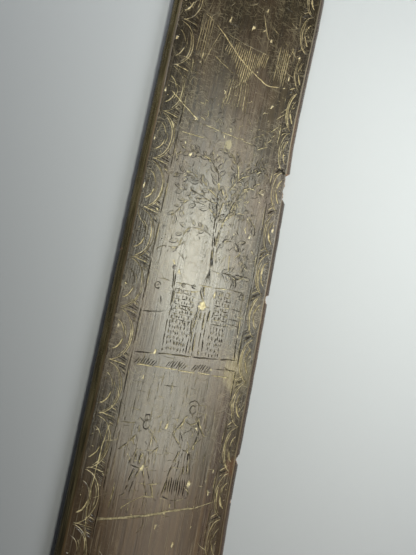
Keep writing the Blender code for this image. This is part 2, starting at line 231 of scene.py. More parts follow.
for softbox in SOFTBOXES:
    sheen_light(*softbox)
area_light("window_at_the_right", (230, 90, 170), (120, 40, 0), (120, 160), 14.0, "fafaf8")
area_light("lamp_at_the_left", (-95, 130, 150), (-35, 90, 0), (50, 50), 3.8, "fafaf8", LAMP_SPREAD)
world = bpy.data.worlds.new("dim_room")
world.use_nodes = True
room = world.node_tree.nodes["Background"]
room.inputs["Color"].default_value = colour("f2f4f6")
room.inputs["Strength"].default_value = ROOM_BRIGHTNESS
scene.world = world

# %% [markdown]
# ## The strip's form
#
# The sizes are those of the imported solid: a flat back, an upright edge, a bevel, and a face
# that is crowned by half a millimetre. The right edge wanders a little, as a hand-cut edge
# does, and has lost a few chips. The solid could simply be rounded with a bevel modifier, but
# the engraving has to be cut into the same sheet of faces, so the outline is drawn again here
# from the same sizes, with soft edges and ragged chips.

# %% Sizes of the strip, in millimetres
BEVEL_RUN = 1.7
BEVEL_DROP = 1.3
CROWN = 0.5
UNDER_EDGE = 0.3
END_RADIUS = 13.0
BEVEL_TOP = THICKNESS - CROWN
# Each wave of the right edge: its place along the strip, its height and its spread.
EDGE_WAVES = ((80, 0.6, 15.5), (40, -0.5, 16), (31, 0.2, 5), (-20, 0.1, 22), (-72, 0.5, 14))
# Each chip: its place along the strip, its length, its depth and the flat share of its floor.
RIGHT_CHIPS = (
    (28.3, 8.2, 1.65, 0.80),
    (-1.5, 2.4, 1.0, 0.72),
    (-41.9, 2.6, 1.4, 0.0),
    (17.2, 0.9, 0.3, 0.0),
    (-52.0, 1.2, 0.4, 0.0),
)
LEFT_CHIPS = ((2.5, 1.2, 0.3, 0.0),)
print("chips:", len(RIGHT_CHIPS), "on the right,", len(LEFT_CHIPS), "on the left")

# %% How an edge wanders and chips
WANDER_MOST = 1.6
STEEPEST_CHIP_WALL = 0.12
# A chip's floor is ragged in two scales: its share of the depth, its period and its seed.
CHIP_RAGGEDNESS = ((0.16, 2.6, 3), (0.07, 0.9, 4))


def wander(t, period, seed):
    """A smooth, repeatable wobble between about -1 and 1, and never beyond WANDER_MOST."""
    draw = random.Random(seed)
    waves = [(draw.uniform(0.7, 1.6), draw.uniform(0, math.tau)) for _ in range(4)]
    return sum(np.sin(math.tau * rate * t / period + phase) for rate, phase in waves) / 2.6


def right_wave(y):
    """How far the right edge stands out at a place along the strip."""
    return sum(height * np.exp(-(((y - place) / spread) ** 2)) for place, height, spread in EDGE_WAVES)


def edge_x(side):
    """X of a long edge, before the right one's waves."""
    if side < 0:
        return -WIDTH / 2
    return WIDTH / 2 - max(height for _, height, _ in EDGE_WAVES)


def chip_depth(y, chips):
    """Depth of the chips at places along an edge, with a ragged floor."""
    depth = np.zeros_like(y)
    ragged = 1 + sum(share * wander(y, period, seed) for share, period, seed in CHIP_RAGGEDNESS)
    for place, length, deepest, flat in chips:
        away = np.abs(y - place) / (length / 2)
        bite = deepest * np.clip((1 - away) / max(STEEPEST_CHIP_WALL, 1 - flat), 0, 1)
        depth = np.maximum(depth, bite * ragged)
    return depth


chip_places = np.array([place for place, _, _, _ in RIGHT_CHIPS])
print("depths of the right chips:", np.round(chip_depth(chip_places, RIGHT_CHIPS), 2))

# %% The outline
EDGE_STEP = 0.8
CHIP_STEP = 0.15
CHIP_MARGIN = 0.15
CORNER_STEPS = 25
END_POINTS = 16
# The long edges shake in two scales: height, period and seed.
EDGE_SHAKES = ((0.03, 7.0, 11), (0.015, 1.9, 13))


def edge_places(chips):
    """Places along a long edge: evenly spaced, and closer together in the chips."""
    reach = LENGTH / 2 - END_RADIUS
    even = np.linspace(-reach, reach, round(2 * reach / EDGE_STEP))
    for place, length, _, _ in chips:
        inside = np.abs(even - place) < length / 2 + 2 * CHIP_MARGIN
        margin = length / 2 + CHIP_MARGIN
        fine = np.arange(place - margin, place + margin + 0.01, CHIP_STEP)
        even = np.sort(np.concatenate([even[~inside], fine]))
    return even


def strip_outline():
    """The edge counterclockwise: places, directions straight out, chip depths."""
    places, outs, depths = [], [], []

    def long_edge(side, chips):
        y = edge_places(chips)
        x = edge_x(side) + (right_wave(y) if side > 0 else 0 * y)
        for height, period, seed in EDGE_SHAKES:
            x = x - side * height * (WANDER_MOST + wander(y, period, seed + side))
        order = slice(None) if side > 0 else slice(None, None, -1)
        places.extend(np.stack([x, y], 1)[order])
        outs.extend([(side, 0.0)] * len(y))
        depths.extend(chip_depth(y, chips)[order])

    def corner(side, end, first_angle):
        centre = np.array((edge_x(side) - side * END_RADIUS, end * (LENGTH / 2 - END_RADIUS)))
        for angle in np.radians(first_angle + np.linspace(0, 90, CORNER_STEPS + 1)[1:-1]):
            out = np.array((math.cos(angle), math.sin(angle)))
            places.append(centre + END_RADIUS * out)
            outs.append(tuple(out))
            depths.append(0.0)

    def end_edge(end):
        half = (edge_x(1) - edge_x(-1)) / 2 - END_RADIUS
        middle = (edge_x(1) + edge_x(-1)) / 2
        for share in np.linspace(1, -1, END_POINTS):
            places.append(np.array((middle + end * share * half, end * LENGTH / 2)))
            outs.append((0.0, end))
            depths.append(0.0)

    long_edge(1, RIGHT_CHIPS)
    corner(1, 1, 0)
    end_edge(1)
    corner(-1, 1, 90)
    long_edge(-1, LEFT_CHIPS)
    corner(-1, -1, 180)
    end_edge(-1)
    corner(1, -1, 270)
    return np.array(places), np.array(outs), np.array(depths)


outline_places, outline_outs, outline_depths = strip_outline()
print("points round the outline:", len(outline_places))

# %% [markdown]
# The polished face is not flat: it is crowned, and the scraper left faint ripples. A formula
# gives its height anywhere, so the engraving can later be measured down from it.

# %% The face
RIPPLE_HEIGHT = 0.014
RIPPLE_ACROSS, RIPPLE_ALONG = 13, 31


def face_height(x, y):
    """Height of the polished face before engraving."""
    across = 1 - (x / (WIDTH / 2 - BEVEL_RUN)) ** 2
    along = 1 - (y / (LENGTH / 2 - BEVEL_RUN)) ** 8
    waves = wander(x + 0.2 * y, RIPPLE_ACROSS, 21) + wander(y + 0.3 * x, RIPPLE_ALONG, 22)
    ripple = RIPPLE_HEIGHT * (waves - 2 * WANDER_MOST) * np.clip(across, 0, 1)
    return BEVEL_TOP + CROWN * np.clip(across, 0, 1) * np.clip(along, 0, 1) + ripple


print(f"the face's middle is {float(face_height(0.0, 0.0)):.2f} mm high")

# %% [markdown]
# ## The graver
#
# Every line is a V-shaped cut whose sides have one slope, because the tool's point has one
# angle: a wider cut is a deeper one, and each cut starts and ends in a point. Some cuts are
# filled with pale dust and dried keratin, some stay dark, so each has a paleness of its own.
# A rub or a chipped flake is a wider and flatter cut. The lines could be painted, or raised
# by a bump, but neither catches the light on one side as a real cut does. So the cuts are
# only listed for now, as paths with a width, and shaped into the mesh later. The engraver's
# shake comes from a small repeatable wobble, and every chance from one seeded sequence.

# %% Chances and paths
CUT_STEP = 0.9
PICTURE_SHIFT = -0.41
FACE_MARGIN = 0.3
engraver = random.Random(1848)


def chance(low_value, high_value):
    """A number between two, from the engraver's own sequence."""
    return engraver.uniform(low_value, high_value)


def smooth_path(points, step=CUT_STEP):
    """Points about a step apart on a smooth curve through the given ones."""
    knots = np.array(points, float)
    if len(knots) == 2:
        count = max(2, round(float(np.linalg.norm(knots[1] - knots[0])) / step))
        return knots[0] + (knots[1] - knots[0]) * np.linspace(0, 1, count + 1)[:, None]
    padded = np.vstack([2 * knots[0] - knots[1], knots, 2 * knots[-1] - knots[-2]])
    path = [knots[0]]
    for a, b, c, d in zip(padded, padded[1:], padded[2:], padded[3:]):
        count = max(1, round(float(np.linalg.norm(c - b)) / step))
        for t in np.arange(1, count + 1) / count:
            path.append(0.5 * (2 * b + (c - a) * t + (2 * a - 5 * b + 4 * c - d) * t * t
                               + (3 * b - a - 3 * c + d) * t ** 3))
    return np.array(path)


def on_face(path):
    """Whether a whole path lies on the polished face."""
    right = edge_x(1) + np.minimum(0, right_wave(path[:, 1])) - BEVEL_RUN - FACE_MARGIN
    left = edge_x(-1) + BEVEL_RUN + FACE_MARGIN
    ends = LENGTH / 2 - BEVEL_RUN - 2 * FACE_MARGIN
    return bool(((path[:, 0] > left) & (path[:, 0] < right) & (np.abs(path[:, 1]) < ends)).all())


def arc(centre, radii, first, last, count=10):
    """Points along an ellipse's arc; angles in degrees."""
    angles = np.radians(np.linspace(first, last, count + 1))
    return np.stack([centre[0] + radii[0] * np.cos(angles), centre[1] + radii[1] * np.sin(angles)], 1)


print("points on a quarter circle of 4 mm:", len(smooth_path(arc((0, 0), (4, 4), 0, 90))))

# %% Strokes
GRAVER_SLOPE = 0.8
RUB_SLOPE = 0.22
STROKE_WIDTH = 0.26
PALE, MIDDLE, DARK = 0.75, 0.45, 0.12
WIDTH_CHANGE = 0.25
STROKE_SLIP = 0.09
COMPANION_SHARE = 0.55
COMPANION_WIDTH = 0.17
cuts = []


def cut(points, width=STROKE_WIDTH, pale=MIDDLE, step=CUT_STEP, shake=0.05, slope=GRAVER_SLOPE):
    """One stroke of the graver through the given points, in picture millimetres."""
    path = smooth_path(points, step)
    path[:, 0] += PICTURE_SHIFT
    seed = chance(0, 1000)
    count = np.arange(len(path))
    path[:, 0] += shake * np.sin(1.3 * count + seed)
    path[:, 1] += shake * np.sin(1.7 * count + 2 * seed)
    half = width / 2 * (1 + WIDTH_CHANGE * np.sin(0.9 * count + 3 * seed))
    half[0] = half[-1] = 0.0
    if on_face(path):
        cuts.append((path, half, pale, slope))


def rub(place, size, pale=1.0, lean=0.0, slope=RUB_SLOPE):
    """A flake or a nick: a short wide cut."""
    x, y = place
    wide, tall = size
    across, up = lean * wide, tall / 2
    cut(((x - across, y - up), (x, y), (x + across, y + up)), wide, pale, tall / 3, 0.04, slope)


def sketch(points, width=STROKE_WIDTH, pale=DARK, piece=4.0):
    """A line scratched in short overlapping strokes, with a paler scratch beside some of them."""
    path = smooth_path(points)
    start = 0
    while start < len(path) - 1:
        count = max(2, round(chance(0.6, 1.4) * piece / CUT_STEP))
        slip = np.array((chance(-STROKE_SLIP, STROKE_SLIP), chance(-STROKE_SLIP, STROKE_SLIP)))
        run = path[start:start + count + 1] + slip
        cut(run, width * chance(0.75, 1.15), pale + chance(-0.1, 0.2))
        if engraver.random() < COMPANION_SHARE:
            beside = np.array((chance(0.22, 0.32), chance(-0.1, 0.1)))
            cut(run + beside, COMPANION_WIDTH, chance(0.6, 0.9))
        start += count


def tick(x, y, most_lean, longest, pales):
    """A short loose stroke that leans at random."""
    lean, length = chance(-most_lean, most_lean), chance(0.6, longest)
    cut(((x, y), (x + lean * length, y + length)), chance(0.14, 0.2), engraver.choice(pales), 0.6)


print(f"a stroke {STROKE_WIDTH} mm wide is {STROKE_WIDTH / 2 * GRAVER_SLOPE:.2f} mm deep")


# %% [markdown]
# ## The borders
#
# A row of double scallops runs along each long edge, larger on the left. A thin rule closes
# it towards the pictures, and the corners between scallops and rule are hatched. The inner
# arcs were cut harder on one half, and show palest there. Each arc was gone over twice, so
# finer lines run beside it. One scallop could be drawn and copied by an array modifier, but
# then all would be alike, so a loop draws each with its own small chances.

# %% One scallop and one hatched corner
BORDER_CLEARANCE = 0.45
RULE_GAP = 0.5
HATCH_SPACING = 0.56


def scallop(side, middle, half, outside, reach, inner):
    """One double scallop, with the finer lines beside it."""
    centre = (outside, middle)
    cut(arc(centre, (-side * reach, half), -89, 89, 14), 0.27, chance(0.45, 0.72), 1.0)
    for _ in range(2):
        radii = (-side * (reach - chance(0.3, 0.7)), half - 0.3)
        cut(arc(centre, radii, chance(-85, -20), chance(10, 85), 10), 0.18, chance(0.35, 0.8), 1.0)
    small = arc(centre, (-side * reach * inner, half * 0.60), -84, 84, 10)
    cut(small[:6], chance(0.28, 0.46), chance(0.7, 1.1), 0.8)
    cut(small[5:], 0.26, chance(0.4, 0.75), 0.8)
    radii = (-side * reach * (inner + 0.1), half * 0.66)
    cut(arc(centre, radii, chance(-70, -10), chance(10, 70), 6), 0.17, 0.6)
    for _ in range(2):
        foot = (outside - side * chance(0.2, 0.7), middle + chance(-2.5, 2.5))
        tip = (foot[0] - side * chance(0.3, 0.9), foot[1] + chance(-0.9, 0.9))
        cut((foot, tip), chance(0.2, 0.36), 0.95)


def hatched_corner(side, at, pitch, reach, strokes, lean, deepest):
    """The hatching between two scallops and the rule, with one line in three pale."""
    for i in range(strokes):
        off = (i - (strokes - 1) / 2) * HATCH_SPACING + chance(-0.08, 0.08)
        bulge = math.sqrt(max(0.0, 1 - (1 - abs(off) / (pitch / 2)) ** 2))
        start = deepest + side * (reach * (1 - bulge) + 0.1)
        end = deepest - side * (RULE_GAP - 0.15)
        if abs(start - end) > 0.7:
            y = at + off
            pale = chance(0.5, 0.8) if i % 3 == 1 else chance(0.0, 0.3)
            cut(((start, y + lean / 2), ((start + end) / 2, y + 0.08), (end, y - lean / 2)), 0.27, pale)


print(f"hatching: {1 / HATCH_SPACING:.1f} lines a millimetre")


# %% Borders
RULE_PIECE = 11
LEFT_BORDER = {
    "side": -1, "pitch": 12.3, "cusp": 0.8, "reach": 4.9, "inner": 0.56, "strokes": 9, "lean": 0.9,
}
RIGHT_BORDER = {
    "side": 1, "pitch": 11.0, "cusp": -1.0, "reach": 3.1, "inner": 0.50, "strokes": 7, "lean": 1.5,
}


def border(side, pitch, cusp, reach, inner, strokes, lean):
    """Scallops, rule and hatched corners along one long edge."""
    half_run = LENGTH / 2 - END_RADIUS
    rest_edge = edge_x(side) - PICTURE_SHIFT - side * (BEVEL_RUN + BORDER_CLEARANCE)
    deepest = rest_edge - side * reach
    first = math.ceil((-half_run - cusp) / pitch)
    last = math.floor((half_run - cusp) / pitch)
    for k in range(first, last):
        middle = cusp + (k + 0.5) * pitch + chance(-0.15, 0.15)
        wave = min(0.0, float(right_wave(middle))) if side > 0 else 0.0
        scallop(side, middle, pitch / 2 - 0.1, rest_edge + wave, (reach + wave) * chance(0.97, 1.0), inner)
    for k in range(first, last + 1):
        hatched_corner(side, cusp + k * pitch, pitch, reach, strokes, lean, deepest)
    rule = deepest - side * RULE_GAP
    for start in np.arange(-half_run, half_run - 6, RULE_PIECE):
        end = min(start + chance(9.8, 10.9), half_run)
        drift = chance(-0.12, 0.12)
        cut(((rule, start), (rule + drift, end)), 0.24, chance(0.1, 0.3), 1.6)
        foot = (rule - side * 0.28, start + 3)
        cut((foot, (rule + drift - side * 0.25, end - chance(0, 4))), 0.16, PALE, 1.6)


border(**LEFT_BORDER)
border(**RIGHT_BORDER)
print("cuts in the borders:", len(cuts))

# %% [markdown]
# ## The tree
#
# Two trunk lines rise side by side and part, as a child would draw a tree, and branches leave
# them in bows. The leaves are small pointed ovals with a cut along their middle, and loose
# ticks fill the crown between them. Most cuts stay dark, for no dust has filled them and their
# walls are painted darker than the horn as shade, so they are seen as dull lines in the sheen.
# Only the limbs are drawn point by point: a function walks along each of them and sets the
# leaves, so that their spacing can be changed at will.

# %% Trunk and branches
TRUNK = (
    (
        (2.6, 2.4), (2.4, 5), (1.9, 8.5), (1.5, 12), (1.4, 16), (1.1, 19),
        (0.2, 24.5), (-0.5, 27), (-2.3, 30),
    ),
    ((2.8, 2.6), (2.6, 6), (2.2, 10), (2.0, 14), (2.3, 18), (2.9, 21)),
    ((3.1, 2.8), (2.5, 6.5), (2.7, 10), (3.5, 15), (4.6, 17.8), (5.3, 20), (6.7, 23.8)),
)
BRANCHES = (
    ((2.9, 20), (3.3, 22.5), (4.5, 25), (5.9, 27), (9, 29.2), (13, 33.6)),
    ((3.4, 14.5), (4.5, 16), (6, 17.6), (8, 18.1), (10, 17.8), (12.5, 15)),
    ((3.0, 6.2), (3.6, 8.5), (4.8, 10.1), (7.3, 10.5), (9.3, 9.2), (11, 5.2)),
    ((6.7, 23.8), (8.4, 25), (10.5, 24.8), (12.6, 24.3)),
    ((2.9, 2.4), (4.6, 2.1), (8, 2.3), (10, 1.5), (12, 3.2)),
    ((1.7, 10.4), (-0.5, 11.5), (-3, 11.7), (-5, 11), (-6.3, 7.9), (-6.7, 5.5)),
    ((1.1, 20.2), (-1.2, 21.5), (-2.8, 22), (-4.8, 23.6)),
    ((1.4, 15.5), (-1.2, 17.4), (-4, 17.8), (-6.9, 17.6), (-8.5, 14.6), (-10.2, 13)),
    ((-0.4, 26.4), (-2.3, 29), (-5.5, 30), (-9.5, 29.6), (-11.7, 28)),
    ((-2.3, 22.6), (-5, 24), (-12, 23.6)),
    ((1.2, 18.6), (-2, 19.3), (-5, 20.3), (-8.6, 20.2)),
    ((5.2, 26), (4.6, 29), (2.8, 32), (0.5, 33)),
)
print("limbs:", len(TRUNK) + len(BRANCHES))

# %% Leaves
LEAF_SPACING = 0.85
LEAF_BREADTH = 0.21
BARE_SHARE = 0.12
CROWN_LEFT, CROWN_RIGHT, CROWN_TOP = -11.8, 13.6, 34.5
LONGEST_LEAF = 2.3


def leaf(foot, angle, length):
    """A pointed oval, dark on one side and paler on the other, with a cut along its middle."""
    along = np.array((math.cos(angle), math.sin(angle)))
    across = np.array((-along[1], along[0])) * LEAF_BREADTH * length
    foot = np.array(foot)
    tip = foot + length * along
    cut((foot, foot + 0.45 * length * along + across, tip), 0.18, 0.05, 0.6, 0.02)
    cut((foot, foot + 0.5 * length * along - across, tip), 0.14, chance(0.0, 0.6), 0.6, 0.02)
    cut((foot + 0.15 * length * along, foot + 0.8 * length * along), 0.14, chance(0.3, 0.9), 0.6, 0.02)


def leaves_along(limb, bare):
    """Leaves in turn on both sides of a limb, beyond its bare foot."""
    path = smooth_path(limb, LEAF_SPACING)
    for i in range(1, len(path)):
        if np.linalg.norm(path[i] - path[0]) < bare or engraver.random() < BARE_SHARE:
            continue
        run = path[i] - path[i - 1]
        heading = math.atan2(run[1], run[0])
        turned = 1 if i % 2 else -1
        angle = heading + turned * chance(0.35, 0.95)
        along = np.array((math.cos(angle), math.sin(angle)))
        foot = path[i] + 0.3 * along
        tip = foot + LONGEST_LEAF * along
        if CROWN_LEFT < tip[0] < CROWN_RIGHT and tip[1] < CROWN_TOP:
            leaf(foot, angle, chance(1.6, 2.8))


for limb in TRUNK:
    sketch(limb, 0.3, DARK)
    leaves_along(limb, 11.0)
for limb in BRANCHES:
    sketch(limb, 0.25, chance(0.05, 0.25), 3.5)
    leaves_along(limb, 1.0)
print("cuts with the leaves:", len(cuts))

# %% Roots, and ticks in the crown
CROWN_TICKS = 240
LEFT_TICK_SHARE = 0.3

for x in (1.6, 2.1, 2.7, 3.3):
    cut(((2.6, 2.6), (x, -1.6)), 0.22, DARK)
for _ in range(CROWN_TICKS):
    x, y = chance(2.5, 13.5), chance(3, 33)
    if engraver.random() < LEFT_TICK_SHARE:
        x = chance(-12, 1)
    tick(x, y, 0.9, 1.6, (0.0, 0.1, 0.5, 0.8))
print("cuts with the tree:", len(cuts))

# %% [markdown]
# ## Walls
#
# Below the tree stand two brick walls or houses, with a path between them. The bricks are rows
# of level cuts with short upright ones between them, packed closer and closer towards the
# ground. A tiled texture would give bricks at once, but they would be too regular and could
# not be felt, so each course is scratched with its own sag and gaps.

# %% Brick walls
COURSE = 1.25
PALE_JOINT_SHARE = 0.6


def brick_wall(left, right, top, level_courses, bottom):
    """Courses of bricks, and below them rows of upright cuts."""
    y = top
    row = 0
    while y > bottom + 0.8:
        nearer = y - COURSE * chance(0.9, 1.1)
        if row < level_courses:
            sag = chance(-0.25, 0.25)
            course = ((left, y), ((left + right) / 2, y + sag), (right, y + chance(-0.2, 0.2)))
            sketch(course, 0.25, DARK, 1.8)
        x = left + chance(0.2, 0.7)
        while x < right - 0.2:
            lean = chance(-0.15, 0.15)
            raised = chance(-0.3, 0.3)
            foot = (x + lean, nearer + 0.05 + raised)
            cut(((x, y - 0.05 + raised), foot), 0.24, chance(0.0, 0.35), 0.5)
            if engraver.random() < PALE_JOINT_SHARE:
                cut(((x + 0.28, y - 0.3), (x + 0.28 + lean, nearer + 0.2)), 0.19, chance(0.6, 1.0))
            x += chance(0.5, 1.0)
        y = nearer
        row += 1


brick_wall(-5.1, 0.3, -3.9, 7, -19.4)
brick_wall(5.2, 9.6, -2.2, 8, -18.8)
for y in (-6.0, -8.5, -9.8):
    cut(((9.4, y), (13.2, y - 0.2)), 0.22, DARK)
print("cuts with the bricks:", len(cuts))

# %% Posts, gables, path and finials
LONG_LINES = (
    ((-6.3, 0.5), (-5.9, -3), (-5.4, -8), (-5.4, -13), (-5.3, -19.4)),
    ((-5.8, -0.4), (-5.4, -4), (-5.1, -8), (-5.0, -10)),
    ((-5.3, -2.6), (-3, -2.5), (0.4, -2.7)),
    ((0.5, -2), (5, -1.8), (9, -1.4), (12.8, -1.7)),
    ((1.6, -1.8), (1.3, -3.6), (2.3, -5.7), (3.2, -6.6), (4.6, -7)),
    ((2.0, -1.8), (1.9, -3.4), (2.5, -5)),
    ((0.4, -9.9), (1.4, -9), (1.6, -7)),
    ((1.5, -8.6), (1.2, -13), (1.3, -19.2)),
    ((0.5, -10.2), (0.7, -14), (0.5, -19.3)),
    ((2.2, -8), (2.0, -14), (2.2, -19.2)),
    ((3.3, -8), (3.4, -13), (3.6, -19.1)),
    ((4.5, -7.2), (4.3, -12), (4.6, -18.9)),
    ((12.6, -1.5), (12.7, -8), (13.2, -18.3)),
    ((-12, -11), (-9, -10.6), (-6, -9.8)),
    ((-12, 4), (-10, 5.3), (-7, 5.6)),
    ((-9.8, -2.6), (-8, -2.4), (-6.5, -2.5)),
)
for line in LONG_LINES:
    sketch(line, 0.26, chance(0.0, 0.3))
# Small rings on posts and walls: their middle and radius.
RINGS = ((-9.5, -4.2, 0.8), (12.2, -2.6, 0.7), (-3.2, -2.9, 0.45), (-0.6, -2.7, 0.45), (-6.3, 0.9, 0.45))
for x, y, radius in RINGS:
    cut(arc((x, y), (radius, radius), 0, 340, 8), 0.24, DARK, 0.7)
    cut(((x - 0.3 * radius, y - 0.4 * radius), (x + 0.3 * radius, y + 0.5 * radius)), 0.26, DARK)
# A gable with three level lines, and a short stroke at the far left.
cut(((8.6, -1.4), (9.3, 2.1), (10.1, -1.3)), 0.24, DARK)
for y in (-0.9, -0.2, 0.5):
    cut(((9.0, y), (9.8, y + 0.2)), 0.22, DARK)
cut(((-8.3, -6.3), (-7.8, -8.6)), 0.34, DARK)
print("cuts with the walls:", len(cuts))

# %% [markdown]
# ## Ground and grass
#
# Two long lines mark the ground, the lower one filled with pale dust, and three tufts of
# slanting cuts stand between them. One tuft could be copied twice, but hand-cut tufts differ,
# so each stroke gets a foot of its own.

# %% Ground and grass
TUFTS = ((-8.6, -20.9), (-1.0, -20.3), (5.5, -20.0))
TUFT_STROKES = 8
TUFT_WIDTH = 4.4

sketch(((-12, -20.7), (-5.5, -20), (0, -19.6), (5, -19.3), (14.2, -18.2)), 0.30, DARK, 9)
sketch(((-11, -23.4), (-4, -23.2), (5, -22.9), (13, -22.6)), 0.26, PALE, 5)
cut(((8.5, -21.2), (14.3, -20.8)), 0.24, DARK)
for x, y in TUFTS:
    for i in range(TUFT_STROKES):
        share = i / (TUFT_STROKES - 1) - 0.5
        foot = (x + TUFT_WIDTH * share - 0.5, y - 2.6 + chance(-0.2, 0.2))
        tip = (x + TUFT_WIDTH * share + 0.5, y - 0.4 - 1.1 * abs(share))
        cut((foot, tip), 0.22, chance(-0.1, 0.1), 0.5, 0.02)
print("cuts with the ground:", len(cuts))

# %% [markdown]
# ## Figures
#
# Two standing figures fill the panel below, the left one with a hat and a coat, the right one
# with a bonnet and a long skirt. They are worn, so their lines are thin and broken, and loose
# ticks blur them. Their heads are plain rings. Curves could be drawn for the bodies, but the
# engraver pushed the point in short straight strokes, so the lists hold only those.

# %% Outlines of the figures
COAT_FIGURE = (
    ((-6.6, -35.9), (-5.4, -35.6), (-4.2, -35.9)),
    ((-6.1, -35.7), (-5.9, -34.6), (-5.0, -34.5), (-4.8, -35.6)),
    ((-5.9, -38.0), (-7.1, -39.0), (-6.6, -42.2)),
    ((-6.6, -42.2), (-7.7, -46.3)),
    ((-4.8, -38.0), (-3.5, -38.8), (-3.8, -42.2)),
    ((-3.8, -42.2), (-2.8, -45.9)),
    ((-3.5, -38.8), (-1.4, -41.4)),
    ((-1.4, -41.4), (-3.3, -43.4)),
    ((-7.2, -39), (-8.8, -41.3), (-11, -43.4)),
    ((-6.9, -42.3), (-5, -42.7), (-3, -42.2)),
    ((-7.5, -46.2), (-5, -46.8), (-2.8, -45.8)),
    ((-3.3, -45.6), (-2.3, -48.5), (-1.2, -51), (-0.5, -53.2), (0.8, -53.8)),
    ((-6, -46.5), (-6.9, -49.5), (-7.5, -53), (-8.6, -53.5)),
    ((-4.8, -46.8), (-5.8, -49.5), (-6.2, -53)),
    ((-4.4, -46.6), (-3.2, -50), (-2.0, -53)),
    ((-6.4, -43), (-6.6, -46)),
    ((-5.4, -43), (-5.5, -46.4)),
    ((-4.3, -43), (-4.1, -46.2)),
)
SKIRT_FIGURE = (
    ((3.9, -31.3), (4.1, -30), (5.2, -29.5), (6.4, -30.2), (6.5, -31.6)),
    ((4.4, -33), (3.4, -34), (2.9, -36), (3.2, -38.6), (3.9, -41.3)),
    ((5.8, -33), (7, -34.2), (7.7, -37), (7.2, -39.2), (6.3, -41.4)),
    ((3.4, -34.4), (1.1, -37.9)),
    ((1.1, -37.9), (3.8, -40.7)),
    ((7.0, -34.5), (9.0, -37.8)),
    ((9.0, -37.8), (6.4, -40.9)),
    ((3.6, -34.4), (5.1, -35.3), (6.8, -34.4)),
    ((3.5, -38), (4.7, -36.9), (6.2, -36.5)),
    ((3.8, -41.2), (5, -41.6), (6.4, -41.2)),
    ((3.8, -41.4), (2.4, -46), (1.3, -52.4)),
    ((6.4, -41.4), (7.3, -46.5), (8, -52)),
    ((1.3, -52.4), (4.5, -53), (8, -52)),
    ((4.6, -41.6), (3.9, -47)),
    ((5.4, -41.6), (5.5, -47.2)),
    ((5.9, -41.5), (6.6, -47)),
)
print("lines of the figures:", len(COAT_FIGURE) + len(SKIRT_FIGURE))

# %% Figures
HEADS = ((-5.4, -36.8), (5.2, -31.7))
HEM_FOLDS = 9
FIGURE_TICKS = 60
BODY_MIDDLES = ((-5.2, -42), (5.0, -38), (-5.0, -38))

for line in COAT_FIGURE + SKIRT_FIGURE:
    sketch(line, chance(0.19, 0.25), chance(-0.05, 0.3), 3.2)
for x, y in HEADS:
    cut(arc((x, y), (0.8, 1.05), 20, 370, 8), 0.22, DARK, 0.7)
for i in range(HEM_FOLDS):
    x = 2.1 + 0.56 * i
    fold = ((x, -47.8 + chance(-0.4, 0.4)), (x + 0.15, -51.8 + chance(-0.4, 0.4)))
    cut(fold, 0.24, chance(0.0, 0.3))
for _ in range(FIGURE_TICKS):
    x, y = engraver.choice(BODY_MIDDLES)
    x, y = x + chance(-3, 3), y + chance(-4, 4)
    tick(x, y, 1.2, 1.8, (0.0, 0.1, 0.6, 0.8))
print("cuts with the figures:", len(cuts))


# %% [markdown]
# ## The upper picture and the panel lines
#
# A block of close upright cuts, with taller ones at both sides and bundles of lines that run
# down from it, is all that can be made out at the top. Hatching is a loop: each stroke gets a
# foot and a tip with a little chance in both, because a ruler was not used.

# %% Upper picture
BLOCK_STROKES = 22
BUNDLE_STROKES = 9
SIDE_PLACES = (-11.8, -11.2, -10.5, -9.9, -9.2, 10.0, 10.6, 11.1, 11.7, 12.2, 12.8)

for i in range(BLOCK_STROKES):
    x = -4.4 + 0.54 * i
    foot = 57.2 - 6.6 * math.exp(-((x - 1.6) / 2.8) ** 2)
    stroke = ((x - 0.5, foot + chance(-0.6, 0.4)), (x + 0.35, 61.3 + chance(-0.5, 0.8)))
    cut(stroke, 0.27, chance(0.5, 0.85), 1.2)
for x in SIDE_PLACES:
    stroke = ((x - 0.3, 54 + chance(-1.2, 0.8)), (x - 0.1, 60), (x + 0.2, 65.5 + chance(-1, 1)))
    cut(stroke, 0.25, chance(0.4, 0.75), 1.4)
for i in range(BUNDLE_STROKES):
    x = -1.6 + 0.6 * i
    stroke = ((x, 52.5), (x * 1.15 - 0.2, 48), (x * 1.35 - 0.5, 43.5 + chance(-1, 1)))
    cut(stroke, 0.22, chance(0.35, 0.7), 1.2)
print("cuts with the upper picture:", len(cuts))

# %% Panel lines
PANEL_LINES = (
    ((-6.6, 63), (-8.3, 57.5), (-9.5, 53)),
    ((-5.5, 62.9), (1, 61.6), (7, 61)),
    ((-12, 66.5), (-9, 64.6)),
    ((3.5, 72), (5, 68), (6, 65.5), (7.4, 65.3)),
    ((-12, 34.2), (-5, 34.3)),
    ((12.1, 44.6), (15.2, 47.7)),
    ((11.3, 40.8), (14.4, 44.2)),
    ((11.8, 39.5), (13.2, 41)),
    ((11, 37.8), (12.7, 39.6)),
    ((12.4, 38.9), (14.4, 38.4)),
    ((8.5, 35.2), (12, 37.4)),
    ((13.2, 46.8), (15.6, 49.6)),
)
for line in PANEL_LINES:
    cut(line, 0.25, chance(0.45, 0.8))
sketch(((-10, 38), (-5, 37.5), (2, 36.8), (9.5, 36.2)), 0.22, DARK, 5)
print("cuts with the panel lines:", len(cuts))

# %% [markdown]
# ## The ends
#
# The photograph cuts both ends off. They are finished plainer, in the manner of such strips:
# cross lines, and a rosette drawn with a pair of compasses. Its petals could be arcs of six
# more circles, as compasses give them, but bowed cuts through three points look the same here.

# %% Ends
ROSETTE_RADIUS = 10.0
ROSETTE_FROM_END = 42
ROSETTE_X = 1.1
PETAL_HATCHES = (0.35, 0.45, 0.55, 0.65)
CROSS_LINES = (84, LENGTH / 2 - 8.5, LENGTH / 2 - 10.5)


